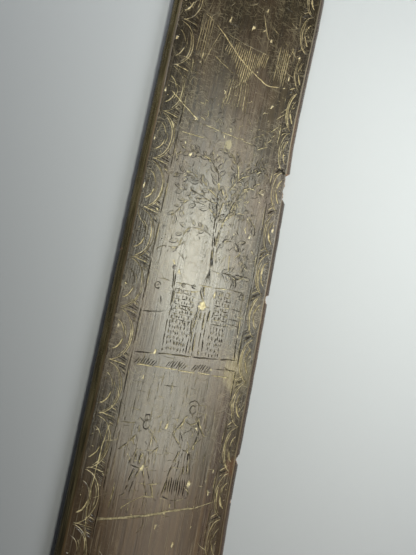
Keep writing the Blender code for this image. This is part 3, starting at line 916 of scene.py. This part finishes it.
def rosette(y, radius, petals=6):
    """A ring with petals from the same compass opening."""
    centre = np.array((ROSETTE_X, y))
    for ring, pale in ((radius, 0.6), (radius + 0.9, 0.4)):
        cut(arc(centre, (ring, ring), 90, 449, 40), 0.26, pale)
    for i in range(petals):
        angle = math.tau * i / petals + math.pi / 2
        out = np.array((math.cos(angle), math.sin(angle)))
        across = np.array((-out[1], out[0]))
        for side in (-1, 1):
            bow = centre + 0.52 * radius * out + side * 0.24 * radius * across
            cut((centre + 0.08 * radius * out, bow, centre + 0.94 * radius * out), 0.25, 0.6)
        for share in PETAL_HATCHES:
            middle = centre + share * radius * out
            cut((middle - 0.11 * radius * across, middle + 0.11 * radius * across), 0.2, MIDDLE)


for sign in (-1, 1):
    rosette(sign * (LENGTH / 2 - ROSETTE_FROM_END), ROSETTE_RADIUS)
    for y in CROSS_LINES:
        cut(((-11.6, sign * y), (1, sign * y + 0.2), (13.6, sign * y)), 0.25, 0.55)
print("cuts with the ends:", len(cuts))

# %% [markdown]
# ## Scratches and nicks
#
# A century of handling left scratches in all directions, a broad pale one across the figures,
# a long one over the upper picture, and small nicks that show as bright specks. Towards the
# top the scratches are so many that they make a net, with little curls among them. The largest
# ones are placed one by one. The rest could come from a noise texture, but real scratches
# start and end somewhere and cross the pictures, so loops of seeded chances draw them.

# %% Long scratches
cut(((-8.5, 64.3), (-6, 62.5), (0, 57.3), (5, 54.5), (8.5, 53), (12, 53.8)), 0.36, 0.8)
cut(((-7.5, 56.2), (-3, 53.8), (-1, 52.8)), 0.26, 0.6)
cut(((-16.2, 43.8), (-12.5, 41.2), (-7.6, 38.0)), 0.26, 0.75)

# The broad scratch is three cuts side by side: the shift of each, how many points it follows,
# and its paleness.
BROAD_SCRATCH = ((-12.5, -59), (-9, -58.6), (0, -56.8), (4, -55.7), (10, -54.3), (15, -52.2))
for lift, last, pale in ((0.0, 6, 0.52), (0.2, 5, 0.45), (-0.2, 4, 0.45)):
    cut([(x, y + lift) for x, y in BROAD_SCRATCH[:last]], 0.26, pale, 1.2, 0.03)

# A black crack runs in from the largest chip. A paleness below zero keeps all dust out of it.
cut(((14.9, 32.5), (16.0, 32.2), (17.0, 31.9), (17.85, 31.4)), 0.7, -0.6, 0.5, 0.02)
cut(((-13.7, -37.5), (-14.3, -41), (-14.8, -50), (-14.8, -58), (-13.5, -66)), 0.27, 0.8)
cut(((-9.8, -51), (-10.3, -57)), 0.34, 0.7)
cut(((-8, -56.5), (-3.5, -53.3), (0, -52.8)), 0.22, 0.6)
cut(((7, 7.5), (7.1, 5), (7.4, 2.6)), 0.26, 0.9)
print("cuts with the long scratches:", len(cuts))

# %% Nicks
# Each nick: its place, its width and its height.
NICKS = (
    (-17.4, 57.3, 0.6, 1.2), (-17.5, 43.1, 0.5, 0.8), (-17.6, 30.6, 0.5, 1.0), (-17.7, 18.6, 0.4, 2.0),
    (-8, 29.2, 0.8, 0.6), (2.6, -6.6, 2.0, 1.1), (-4.3, -46.5, 0.8, 1.6), (7.7, -48.8, 0.9, 0.6),
    (3.1, -56, 0.6, 1.4), (6.5, -63, 0.5, 1.8), (1.5, -59.7, 0.5, 0.7), (-0.5, -36.5, 0.6, 0.9),
    (-2.5, 47.4, 0.5, 1.2), (10.6, 47.6, 0.4, 0.4), (4.9, 55.5, 0.4, 0.4), (-4.8, 66.9, 0.4, 0.5),
    (7.1, 65.4, 0.4, 0.4), (1.4, 66.4, 0.5, 0.4), (-10.1, 54.8, 0.4, 0.5), (13.9, 56.7, 0.5, 1.4),
    (17.2, 16, 0.6, 1.3), (16.4, 5, 0.4, 2.0), (-6.8, -19.8, 0.6, 1.6), (5.0, -3.6, 0.5, 2.2),
)
for x, y, wide, tall in NICKS:
    rub((x, y), (wide, tall), 1.0, 0.15)
print("cuts with the nicks:", len(cuts))

# %% Fine scratches, curls and rubs
STRIP_SCRATCHES = 420
PASSED_OVER_SHARE = 0.7
CURLS = 240
PANEL_SCRATCHES = 170
LEVEL_SHARE = 0.2
RUBS = 110

for _ in range(STRIP_SCRATCHES):
    y = chance(-152, 152)
    x = chance(-17.3, 17.6)
    busy = y > 40 or y < -66 or abs(x) > 13
    if not busy and engraver.random() < PASSED_OVER_SHARE:
        continue
    angle, length = chance(0, math.pi), chance(0.8, 5)
    bend = chance(-0.25, 0.25) * length
    end = (x + length * math.cos(angle), y + length * math.sin(angle))
    middle = ((x + end[0]) / 2 + bend, (y + end[1]) / 2)
    cut(((x, y), middle, end), chance(0.12, 0.22), chance(0.3, 0.8), 1.2)
for _ in range(CURLS):
    x, y = chance(-13, 14), chance(20, 52)
    angle, length = chance(0, math.tau), chance(0.8, 2.6)
    along = np.array((math.cos(angle), math.sin(angle))) * length
    bow = np.array((-along[1], along[0])) * chance(-0.3, 0.3)
    start = np.array((x, y))
    cut((start, start + 0.5 * along + bow, start + along), chance(0.12, 0.18), chance(0.1, 0.8), 0.8)
for _ in range(PANEL_SCRATCHES):
    x, y = chance(-12, 12), chance(-58, -23)
    run, rise = chance(-0.4, 0.4), chance(1.2, 4.5)
    if engraver.random() < LEVEL_SHARE:
        run, rise = chance(1.5, 4), chance(-0.3, 0.5)
    cut(((x, y), (x + run, y + rise)), chance(0.11, 0.16), chance(0.4, 0.8), 1.3)
for _ in range(RUBS):
    x, y = chance(-17, 17), chance(-152, 152)
    rub((x, y), (chance(0.2, 0.5), chance(0.25, 0.8)), chance(0.6, 1.0), chance(-0.6, 0.6))
print("all cuts:", len(cuts))

# %% [markdown]
# ## From lines to a mesh
#
# The cuts could be taken out of the solid one by one with a boolean modifier, but thousands of
# them would take hours. Instead the cuts' outlines and middle lines are laid out flat, with the
# strip's edge round them and a grid of points that carries the crown. A constrained
# triangulation joins everything into one sheet without a gap, and only then is each point
# raised or lowered to its height.

# %% The plan of the cuts
SHARPEST_MITRE = 0.6


def cut_plan():
    """Points and edges of all cuts: the outlines and the middle lines."""
    points, edges = [], []
    for path, half, _, _ in cuts:
        first, last = len(points), len(path) - 1
        points.append(path[0])
        run = np.diff(path, axis=0)
        run /= np.linalg.norm(run, axis=1)[:, None]
        for i in range(1, last):
            along = run[i - 1] + run[i]
            along /= max(1e-6, float(np.linalg.norm(along)))
            mitre = half[i] / max(SHARPEST_MITRE, float(along @ run[i]))
            across = np.array((-along[1], along[0])) * mitre
            points.extend((path[i] + across, path[i], path[i] - across))
        points.append(path[last])
        end = len(points) - 1
        for row in range(3):
            chain = [first] + [first + 1 + 3 * i + row for i in range(last - 1)] + [end]
            edges.extend(zip(chain[:-1], chain[1:]))
    return points, edges


cut_points, cut_edges = cut_plan()
print("points in the plan of the cuts:", len(cut_points))

# %% The sheet
FACE_INSET = BEVEL_RUN + 0.15
GRID_STEP = 1.3
GRID_MARGIN = 1.0
CORNER_MARGIN = 0.8
RIGHT_MARGIN = 0.5
MERGE = 0.012

rim_points = outline_places - outline_outs * FACE_INSET
reach_x = WIDTH / 2 - FACE_INSET - GRID_MARGIN
reach_y = LENGTH / 2 - FACE_INSET - GRID_MARGIN
columns = np.arange(-reach_x, reach_x, GRID_STEP)
rows = np.arange(-reach_y, reach_y, GRID_STEP)
grid = np.stack(np.meshgrid(columns, rows), -1).reshape(-1, 2)
corner_x = np.abs(grid[:, 0]) - (WIDTH / 2 - END_RADIUS)
corner_y = np.abs(grid[:, 1]) - (LENGTH / 2 - END_RADIUS)
in_corner = (corner_x > 0) & (corner_y > 0)
outside = in_corner & (np.hypot(corner_x, corner_y) > END_RADIUS - FACE_INSET - CORNER_MARGIN)
right_limit = edge_x(1) + right_wave(grid[:, 1]) - FACE_INSET - RIGHT_MARGIN
grid = grid[~outside & (grid[:, 0] < right_limit)]

rim_count = len(rim_points)
plan = [Vector(point) for point in rim_points] + [Vector(point) for point in cut_points]
plan += [Vector(point) for point in grid]
plan_edges = [(i, (i + 1) % rim_count) for i in range(rim_count)]
plan_edges += [(a + rim_count, b + rim_count) for a, b in cut_edges]
flat, _, flat_faces, sources, _, _ = delaunay_2d_cdt(plan, plan_edges, [], 1, MERGE)
flat = np.array([tuple(point) for point in flat])
print("points in the sheet:", len(flat), "triangles:", len(flat_faces))

# %% [markdown]
# ## Depths
#
# The depth at each point of the sheet is that of the deepest cut there, so that crossing cuts
# run through one another as they do in the real strip. The same search notes how pale that cut
# is, for the material.

# %% Depths of the cuts


def depth_at(places):
    """Depth of the cuts, share of each cut's own depth, and its paleness, at each place."""
    order = np.argsort(places[:, 1])
    sorted_y = places[order, 1]
    depth, share, pale = (np.zeros(len(places)) for _ in range(3))
    for path, half, paleness, slope in cuts:
        widest = half.max()
        for i in range(len(path) - 1):
            a, b = path[i], path[i + 1]
            reach = max(half[i], half[i + 1])
            first = np.searchsorted(sorted_y, min(a[1], b[1]) - reach)
            last = np.searchsorted(sorted_y, max(a[1], b[1]) + reach)
            near = order[first:last]
            if not len(near):
                continue
            run = b - a
            offset = places[near] - a
            t = np.clip(offset @ run / max(float(run @ run), 1e-12), 0, 1)
            away = np.linalg.norm(offset - t[:, None] * run, axis=1)
            left = half[i] + t * (half[i + 1] - half[i]) - away
            deeper = left * slope > depth[near] + 1e-5
            hit = near[deeper]
            depth[hit] = left[deeper] * slope
            share[hit] = left[deeper] / widest
            pale[hit] = paleness
    return depth, share, pale


face_z = face_height(flat[:, 0], flat[:, 1])
depth, share, pale = depth_at(flat)
vertices = [(x, y, z) for (x, y), z in zip(flat, face_z - depth)]
print(f"deepest cut: {depth.max():.2f} mm")

# %% [markdown]
# ## The edge
#
# Below the face come the softened corner, the bevel, the upright side and the small chamfer
# of the back, as rows of points round the outline. Where a chip is missing, the rows step
# inwards to the broken surface. A bevel modifier would round the corners alike everywhere, and
# rows listed one by one can keep the chips sharp.

# %% Edge rows
# Each row: its inset from the outline, its height, and how much of the bevel's colour it has.
EDGE_ROWS = (
    (BEVEL_RUN - 0.05, BEVEL_TOP - 0.05, 0.35),
    (BEVEL_RUN * 0.75, BEVEL_TOP - BEVEL_DROP * 0.22, 0.9),
    (BEVEL_RUN * 0.4, BEVEL_TOP - BEVEL_DROP * 0.54, 1.0),
    (0.12, BEVEL_TOP - BEVEL_DROP + 0.05, 1.0),
    (0.0, BEVEL_TOP - BEVEL_DROP - 0.14, 1.0),
    (0.0, BEVEL_TOP - BEVEL_DROP - 0.8, 1.0),
    (0.03, UNDER_EDGE + 0.05, 1.0),
    (UNDER_EDGE, 0.0, 0.8),
)
# At the back a chip has only this share of its depth, and its rows are uneven.
CHIP_SLOPE = 0.7
UNEVEN_SHARE = 0.10
UNEVEN_PERIOD = 0.8
BROKEN_FROM = 0.15

rim_index = [0] * rim_count
for vertex, inputs in enumerate(sources):
    for source in inputs:
        if source < rim_count:
            rim_index[source] = vertex
rings = [rim_index]
rim_values = [0.0] * len(vertices)
broken_values = [0.0] * len(vertices)
arris_values = [0.0] * len(vertices)
for number, (inset, z, rim_value) in enumerate(EDGE_ROWS):
    lean = CHIP_SLOPE + (1 - CHIP_SLOPE) * z / BEVEL_TOP
    uneven = wander(outline_places[:, 1] + 3.1 * number, UNEVEN_PERIOD, 31 + number)
    moved = np.maximum(inset, outline_depths * lean * (1 + UNEVEN_SHARE * uneven))
    ring = outline_places - outline_outs * moved[:, None]
    rings.append(list(range(len(vertices), len(vertices) + rim_count)))
    vertices.extend((x, y, z) for x, y in ring)
    rim_values.extend([rim_value] * rim_count)
    broken_values.extend(np.clip((moved - inset) / BROKEN_FROM, 0, 1))
    arris_values.extend([1.0 if number == 0 else 0.0] * rim_count)
print("rows round the edge:", len(EDGE_ROWS))

# %% Make the engraved strip
faces = [tuple(face) for face in flat_faces]
face_count = len(faces)
for upper, lower in zip(rings[:-1], rings[1:]):
    for i in range(rim_count):
        j = (i + 1) % rim_count
        faces.append((upper[i], lower[i], lower[j], upper[j]))
faces.append(tuple(reversed(rings[-1])))

mesh = bpy.data.meshes.new("busk_engraved")
mesh.from_pydata([Vector(vertex) * MM for vertex in vertices], [], faces)
strip = bpy.data.objects.new("busk_engraved", mesh)
scene.collection.objects.link(strip)
print("engraved strip:", len(mesh.vertices), "points,", len(mesh.polygons), "faces")

# %% [markdown]
# ## Normals
#
# Long triangles next to a cut would bend the light if their corners shared the cut's normals.
# Smooth shading with a limit on its angle would leave such smears on so flat a face. So the
# polished face takes its normals from its own formula, and each side of a cut keeps the flat
# normal of its facet. The same loop notes how pale the dust in each cut is, and paints the side
# of a cut that faces left and up the strip paler, as a painted highlight, and the other side
# darker, as painted shade.

# %% Normals, dust and the painted highlight of the cuts
SMOOTH_ANGLE = math.radians(38)
SLOPE_STEP = 0.05
SHALLOWEST = 1e-4
# The side of a cut that is painted paler, as a highlight; the other side is painted darker, as shade.
HIGHLIT_SIDE = Vector((-0.86, 0.5, 0))
SIDE_HIGHLIGHT_AND_SHADE = 0.12

mesh.shade_smooth()
mesh.set_sharp_from_angle(angle=SMOOTH_ANGLE)
normals = np.empty(len(mesh.loops) * 3, np.float32)
mesh.corner_normals.foreach_get("vector", normals)
normals = normals.reshape(-1, 3)
loop_vertex = np.empty(len(mesh.loops), np.int32)
mesh.loops.foreach_get("vertex_index", loop_vertex)
flat_x, flat_y = flat[:, 0], flat[:, 1]
rise_x = face_height(flat_x + SLOPE_STEP, flat_y) - face_height(flat_x - SLOPE_STEP, flat_y)
rise_y = face_height(flat_x, flat_y + SLOPE_STEP) - face_height(flat_x, flat_y - SLOPE_STEP)
twice = 2 * SLOPE_STEP
face_normals = np.stack([-rise_x / twice, -rise_y / twice, np.ones_like(rise_x)], 1)
face_normals /= np.linalg.norm(face_normals, axis=1)[:, None]

dust_and_highlight = np.zeros(len(mesh.loops), np.float32)
for polygon in mesh.polygons[:face_count]:
    loops = range(polygon.loop_start, polygon.loop_start + polygon.loop_total)
    engraved = max(depth[loop_vertex[c]] for c in loops) > SHALLOWEST
    # Painted highlight on the side of a cut that faces left and up, painted shade on the other side.
    extra = SIDE_HIGHLIGHT_AND_SHADE if polygon.normal.dot(HIGHLIT_SIDE) > 0 else -SIDE_HIGHLIGHT_AND_SHADE
    for c in loops:
        normals[c] = polygon.normal if engraved else face_normals[loop_vertex[c]]
        dust_and_highlight[c] = pale[loop_vertex[c]] + extra
mesh.normals_split_custom_set(normals)
print("corners with a normal of their own:", len(normals))

# %% [markdown]
# The material has to know what each point is: inside a cut, on the bevel, on a broken chip or
# on the arris between face and bevel, whose pale line is partly wear and partly a painted
# highlight. Painting that by hand would be slow, and the mesh was made from these facts, so
# they are stored on it as attributes.

# %% Measured values for the material
padding = np.zeros(len(vertices) - len(flat))
point_values = {
    "cut": np.concatenate([share, padding]),
    "rim": np.array(rim_values),
    "broken": np.array(broken_values),
    "arris": np.array(arris_values),
}
for name, numbers in point_values.items():
    layer = mesh.attributes.new(name, "FLOAT", "POINT")
    layer.data.foreach_set("value", numbers.astype(np.float32))
# The dust's paleness at each corner, with the painted highlight and shade on the sides of the cuts.
layer = mesh.attributes.new("dust_and_highlight", "FLOAT", "CORNER")
layer.data.foreach_set("value", dust_and_highlight)
print("attributes:", ", ".join(point_values), "and dust")

# %% [markdown]
# ## Baleen
#
# Baleen is keratin, the stuff of horn and nails: dark, hard and a little translucent, made of
# fibres that run along the strip. Scraped and rubbed it takes a soft polish. It gives the eye
# a dark olive brown with finer streaks along its length, a broad sheen broken by the fibres,
# brown light where the edge is thin, and chalky lines where a point has broken the surface.
# Light really enters it, but so little comes back that brown colours at the edges do as well
# as a slower shader that scatters it.
#
# The patterns come first. Each is noise drawn out to the width and length of the real thing.
# The real fibres are a tenth of a millimetre thick, and here they are drawn three times
# coarser, so that the picture can show them.

# %% Patterns
KERATIN_IOR = 1.55
# Each pattern: its width and length in millimetres, its detail, its place in the noise, and
# its turn from the strip's length in degrees.
PATTERNS = {
    "fibres": (0.32, 10.0, 3.0, 0, 0),
    "streaks": (1.0, 30.0, 4.0, 50, 0),
    "clouds": (12.0, 24.0, 4.0, 90, 0),
    "specks": (0.45, 0.63, 3.0, 130, 0),
    "rubbed areas": (5.0, 7.0, 2.0, 450, 0),
    "steep scratches": (0.24, 2.6, 1.0, 200, 12),
    "left scratches": (0.24, 2.6, 1.0, 240, -38),
    "right scratches": (0.24, 2.6, 1.0, 280, 64),
    "cross scratches": (0.24, 2.6, 1.0, 320, -75),
}

material = bpy.data.materials.new("polished_baleen")
material.use_nodes = True
tree = material.node_tree
baleen_shader = tree.nodes["Principled BSDF"]
baleen_shader.inputs["IOR"].default_value = KERATIN_IOR
# The place on the strip in millimetres, so that the sizes below can be read as such.
metres = add(tree, "ShaderNodeTexCoord").outputs["Object"]
place = add(tree, "ShaderNodeVectorMath", {0: metres, "Scale": 1 / MM}, operation="SCALE")
spot = add(tree, "ShaderNodeSeparateXYZ", (place,)).outputs
pattern = {}
for name, (width, length, detail, seed, turn) in PATTERNS.items():
    turned = add(tree, "ShaderNodeMapping", {"Vector": place, "Rotation": (0, 0, math.radians(turn))})
    scale = (1 / width, 1 / length, 1 / width)
    moved = add(tree, "ShaderNodeMapping", {"Vector": turned, "Scale": scale, "Location": (seed, 0, 0)})
    pattern[name] = add(tree, "ShaderNodeTexNoise", {"Vector": moved, "Scale": 1.0, "Detail": detail})
print("patterns:", ", ".join(PATTERNS))

# %% [markdown]
# ## Masks
#
# A mask says where a colour lies, from 0 to 1. Each one here is a pattern, a place on the
# strip or a stored attribute, of which a range is stretched softly to two new values. Colour
# ramps could do the same, but a table of numbers is easier to compare with the photograph.

# %% Masks
measured = {}
for name in (*point_values, "dust_and_highlight"):
    measured[name] = add(tree, "ShaderNodeAttribute", attribute_name=name).outputs["Fac"]
# The dust's paleness with its specks, with the painted highlight and shade on the sides of the cuts.
pale_fill_and_highlight = add(tree, "ShaderNodeMath", (pattern["specks"], 0.3, measured["dust_and_highlight"]), operation="MULTIPLY_ADD")

# Each mask: what it reads, the range read, and the values at that range's two ends.
RANGES = {
    "streaked": (pattern["streaks"], 0.35, 0.65, 0.0, 1.0),
    "softly streaked": (pattern["streaks"], 0.30, 0.70, 0.0, 1.0),
    "frayed": (pattern["streaks"], 0.3, 0.7, -0.25, 0.25),
    "worn along": (pattern["streaks"], 0.4, 0.6, 0.35, 0.9),
    "between fibres": (pattern["fibres"], 0.48, 0.28, 0.0, 0.5),
    "fibrous": (pattern["fibres"], 0.35, 0.65, 0.0, 1.0),
    "scratched along": (pattern["fibres"], 0.60, 0.72, 0.0, 0.8),
    "scratched below": (pattern["fibres"], 0.58, 0.70, 0.0, 1.0),
    "clouded": (pattern["clouds"], 0.42, 0.68, 0.0, 0.5),
    "specked": (pattern["specks"], 0.6, 0.8, 0.0, 0.4),
    "dust specked": (pattern["specks"], 0.3, 0.7, 0.0, 1.0),
    "crumbled": (pattern["specks"], 0.35, 0.65, 0.0, 1.0),
    "rubbed": (pattern["rubbed areas"], 0.35, 0.62, 0.25, 1.0),
    "steep": (pattern["steep scratches"], 0.60, 0.72, 0.0, 1.0),
    "left": (pattern["left scratches"], 0.60, 0.72, 0.0, 1.0),
    "right": (pattern["right scratches"], 0.60, 0.72, 0.0, 1.0),
    "cross": (pattern["cross scratches"], 0.60, 0.72, 0.0, 1.0),
    "top's scratches": (spot["Y"], 36, 50, 0.28, 0.22),
    "bottom's scratches": (spot["Y"], -28, -48, 1.0, 0.25),
    "figures' panel": (spot["Y"], -15, -50, 0.0, 0.26),
    "lower part": (spot["Y"], -34, -56, 0.0, 0.9),
    # Painted shade: the face is darker towards its upper end.
    "top": (spot["Y"], 40, 68, 0.0, 0.6),
    # Painted shade: the face is darker along both long edges.
    "right border": (spot["X"], 12, 17, 0.0, 0.55),
    "left border": (spot["X"], -12, -17, 0.0, 0.4),
    "right half": (spot["X"], -10, 10, 0.0, 1.0),
    "low side": (spot["Z"], 1.9, 1.7, 0.0, 1.0),
    "brown dust above": (spot["Y"], 40, 60, 0.0, 0.55),
    "brown dust below": (spot["Y"], -45, -60, 0.0, 0.4),
    "engraved": (measured["cut"], 0.05, 0.4, 0.0, 1.0),
    "pale fill and highlight": (pale_fill_and_highlight, 0.32, 0.95, 0.0, 1.0),
    "gloss of fibres": (pattern["fibres"], 0.3, 0.7, 0.20, 0.26),
    "dull clouds": (pattern["clouds"], 0.4, 0.7, 0.0, 0.05),
}
mask = {"bevelled": measured["rim"], "broken": measured["broken"]}
for name, row in RANGES.items():
    mask[name] = add(tree, "ShaderNodeMapRange", row, interpolation_type="SMOOTHSTEP")
print("masks:", len(mask))

# %% [markdown]
# Some masks are made of others: the larger of two, or their product. The scratches are the
# largest of four sets of short straight lines and the scratched fibres. They show most in the
# middle of the strip, a little less at its top, and least below the figures.

# %% Masks made of others
# How strongly the dust near the long edges is browned, as painted shade.
BORDER_SHADE_ON_DUST = 0.6
# Each row: the new mask, how it is made, and what of.
JOINED = (
    ("scratched", "MAXIMUM", "scratched along", "steep"),
    ("scratched", "MAXIMUM", "scratched", "left"),
    ("scratched", "MAXIMUM", "scratched", "right"),
    ("scratched", "MAXIMUM", "scratched", "cross"),
    ("scratched", "MULTIPLY", "scratched", "rubbed"),
    ("scratches' share", "MULTIPLY", "top's scratches", "bottom's scratches"),
    ("scratched", "MULTIPLY", "scratched", "scratches' share"),
    ("scratched below", "MULTIPLY", "scratched below", "figures' panel"),
    ("scratched", "MAXIMUM", "scratched", "scratched below"),
    ("borders", "MAXIMUM", "right border", "left border"),
    ("brown dust", "MAXIMUM", "brown dust above", "brown dust below"),
    ("dusty lines", "MULTIPLY", "engraved", "pale fill and highlight"),
    ("dull", "MAXIMUM", "dusty lines", "scratched"),
)
for name, how, first, second in JOINED:
    mask[name] = add(tree, "ShaderNodeMath", (mask[first], mask[second]), operation=how)
# Near the long edges the dust in the cuts is browned as painted shade; above and below it is brown dust.
in_borders = add(tree, "ShaderNodeMath", (mask["borders"], BORDER_SHADE_ON_DUST), operation="MULTIPLY")
mask["brown dust"] = add(tree, "ShaderNodeMath", (mask["brown dust"], in_borders), operation="MAXIMUM")
# Where the arris shows its pale line, partly wear and partly a painted highlight.
mask["worn and highlit"] = add(tree, "ShaderNodeMath", (measured["arris"], mask["worn along"]), operation="MULTIPLY")
mask["raw"] = add(tree, "ShaderNodeMath", (mask["broken"], measured["arris"]), operation="MAXIMUM")
print("masks with the joined ones:", len(mask))

# %% [markdown]
# In a few places the colour changes: a dark band beside the right border, rubbed olive places,
# brown baleen beside a chip, brightened as painted light that comes through the thin broken
# edge, and a pale stain over the tree. They could be painted, but a soft oval with a frayed
# edge does as well and can be moved with two numbers.

# %% Patches
OVAL_OUTSIDE, OVAL_INSIDE = 1.2, 0.6
# Each patch: its middle, half its width and length in millimetres, and its strength.
PATCHES = {
    "dark band": (13.0, -43, 1.3, 19, 0.8),
    "olive patch": (14.5, -21, 4.0, 4.5, 0.5),
    "rubbed patch": (17.0, -5.5, 2.2, 4.0, 0.5),
    # Its warm brown is partly the horn and partly painted light through the thin broken edge of the chip.
    "brown patch": (17.3, -43.8, 1.6, 2.8, 0.6),
    "pale stain": (0.6, 34.5, 1.0, 1.1, 0.3),
}
for name, (x, y, half_width, half_length, strength) in PATCHES.items():
    oval = add(tree, "ShaderNodeMapping", {
        "Vector": place,
        "Location": (-x / half_width, -y / half_length, 0),
        "Scale": (1 / half_width, 1 / half_length, 0),
    })
    away = add(tree, "ShaderNodeVectorMath", (oval,), operation="LENGTH").outputs["Value"]
    frayed = add(tree, "ShaderNodeMath", (away, mask["frayed"]), operation="ADD")
    row = (frayed, OVAL_OUTSIDE, OVAL_INSIDE, 0.0, strength)
    mask[name] = add(tree, "ShaderNodeMapRange", row, interpolation_type="SMOOTHSTEP")
print("patches:", ", ".join(PATCHES))

# %% [markdown]
# ## Colour
#
# The colour is built like the strip itself, from the keratin up to the dust. Each row of the table
# lays one colour over another through a mask and gives the result a name, which later rows can
# use. Doing it in one table keeps the order in sight, which a tangle of nodes would hide.

# %% Colours, one over another
# Each row: the result, the mask, the colour below, and the colour that the mask lets through.
COATS = (
    ("baleen", "streaked", "231e14", "3a3224"),
    ("brown baleen", "softly streaked", "37291a", "4d3c28"),
    ("baleen", "lower part", "baleen", "brown baleen"),
    ("baleen", "clouded", "baleen", "4c3a28"),
    ("baleen", "between fibres", "baleen", "1f1a13"),
    ("baleen", "specked", "baleen", "6e6448"),
    ("baleen", "dark band", "baleen", "2c1c12"),
    ("baleen", "olive patch", "baleen", "857a58"),
    ("baleen", "rubbed patch", "baleen", "5a4c30"),
    ("baleen", "brown patch", "baleen", "6e4a2a"),
    ("baleen", "pale stain", "baleen", "b0a878"),
    # Painted shade towards the upper end of the face.
    ("baleen", "top", "baleen", "17130d"),
    # Painted shade along both long edges of the face.
    ("baleen", "borders", "baleen", "17120b"),
    ("baleen", "scratched", "baleen", "8c8264"),
    # The bevels and upright sides are one horn in colours set for the light: the left bevel is painted
    # lighter, as painted light, the right one darker and browner, as painted shade with the brown of light
    # through its thin edge, and the left upright side near black, as painted shade.
    ("left bevel", "fibrous", "2e2a1b", "5a523a"),
    ("right bevel", "streaked", "20150c", "3c2a1a"),
    ("bevel", "right half", "left bevel", "right bevel"),
    ("upright side", "right half", "080705", "20150c"),
    ("bevel", "low side", "bevel", "upright side"),
    ("surface", "bevelled", "baleen", "bevel"),
    # The line along the arris is partly wear and partly a painted highlight.
    ("worn arris", "right half", "5f4a2c", "6e6347"),
    ("surface", "worn and highlit", "surface", "worn arris"),
    # The pale colour of the dust in the cuts, which also paints the highlight on one side of each cut.
    ("dust_and_highlight", "dust specked", "948a64", "d9cfa8"),
    ("dust_and_highlight", "brown dust", "dust_and_highlight", "7c6844"),
    # A cut without dust is painted darker than the horn around it, as painted shade in the groove.
    ("bottom of a cut", "pale fill and highlight", "14100a", "dust_and_highlight"),
    ("surface", "engraved", "surface", "bottom of a cut"),
    ("fracture", "crumbled", "5f402c", "a5794e"),
    ("surface", "broken", "surface", "fracture"),
)
coat = {}
for result, through, below, above in COATS:
    under, over = (coat[name] if name in coat else colour(name) for name in (below, above))
    mixed = add(tree, "ShaderNodeMix", {0: mask[through], 6: under, 7: over}, data_type="RGBA")
    coat[result] = mixed.outputs[2]
tree.links.new(coat["surface"], baleen_shader.inputs["Base Color"])
print("coats of colour:", len(COATS))

# %% [markdown]
# ## Polish and relief
#
# Rubbed baleen is glossy, but dust, scratches, broken places and the worn arris are dull, so each
# of them adds to the roughness. Below the size of the mesh, the fibres, the finest scratches
# and the crumbs of a fracture are a relief of a few hundredths of a millimetre. It only has to
# break up the sheen and never shows in the outline, so a bump is enough for it.

# %% Polish and relief
SURFACE_DEPTH_MM = 0.030

rough = mask["gloss of fibres"]
for dulled, rougher in ((mask["dull clouds"], 1.0), (mask["dull"], 0.4), (mask["raw"], 0.35)):
    rough = add(tree, "ShaderNodeMath", (dulled, rougher, rough), operation="MULTIPLY_ADD")
tree.links.new(rough.outputs[0], baleen_shader.inputs["Roughness"])

crumbs = add(tree, "ShaderNodeMath", (mask["broken"], pattern["specks"]), operation="MULTIPLY")
# Each part of the relief, and its height as a share of the surface's depth.
RELIEF = (
    (pattern["fibres"], 0.8),
    (pattern["streaks"], 0.5),
    (pattern["specks"], 0.15),
    (mask["scratched"], -0.7),
    (crumbs, 6.0),
)
height = 0.0
for part, share_of_depth in RELIEF:
    height = add(tree, "ShaderNodeMath", (part, share_of_depth, height), operation="MULTIPLY_ADD")
relief = {"Height": height, "Distance": SURFACE_DEPTH_MM * MM, "Strength": 1.0}
bump = add(tree, "ShaderNodeBump", relief)
tree.links.new(bump.outputs[0], baleen_shader.inputs["Normal"])
print("nodes in the material:", len(tree.nodes))

# %% [markdown]
# ## Put in place
#
# The strip is one piece and nothing on it moves, so it rides on the root body. It stands in for
# the imported solid, which is hidden, and gets the baleen material.

# %% Put in place
mesh.materials.append(material)
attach(strip, "root")
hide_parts("busk")
print("in place:", strip.name)
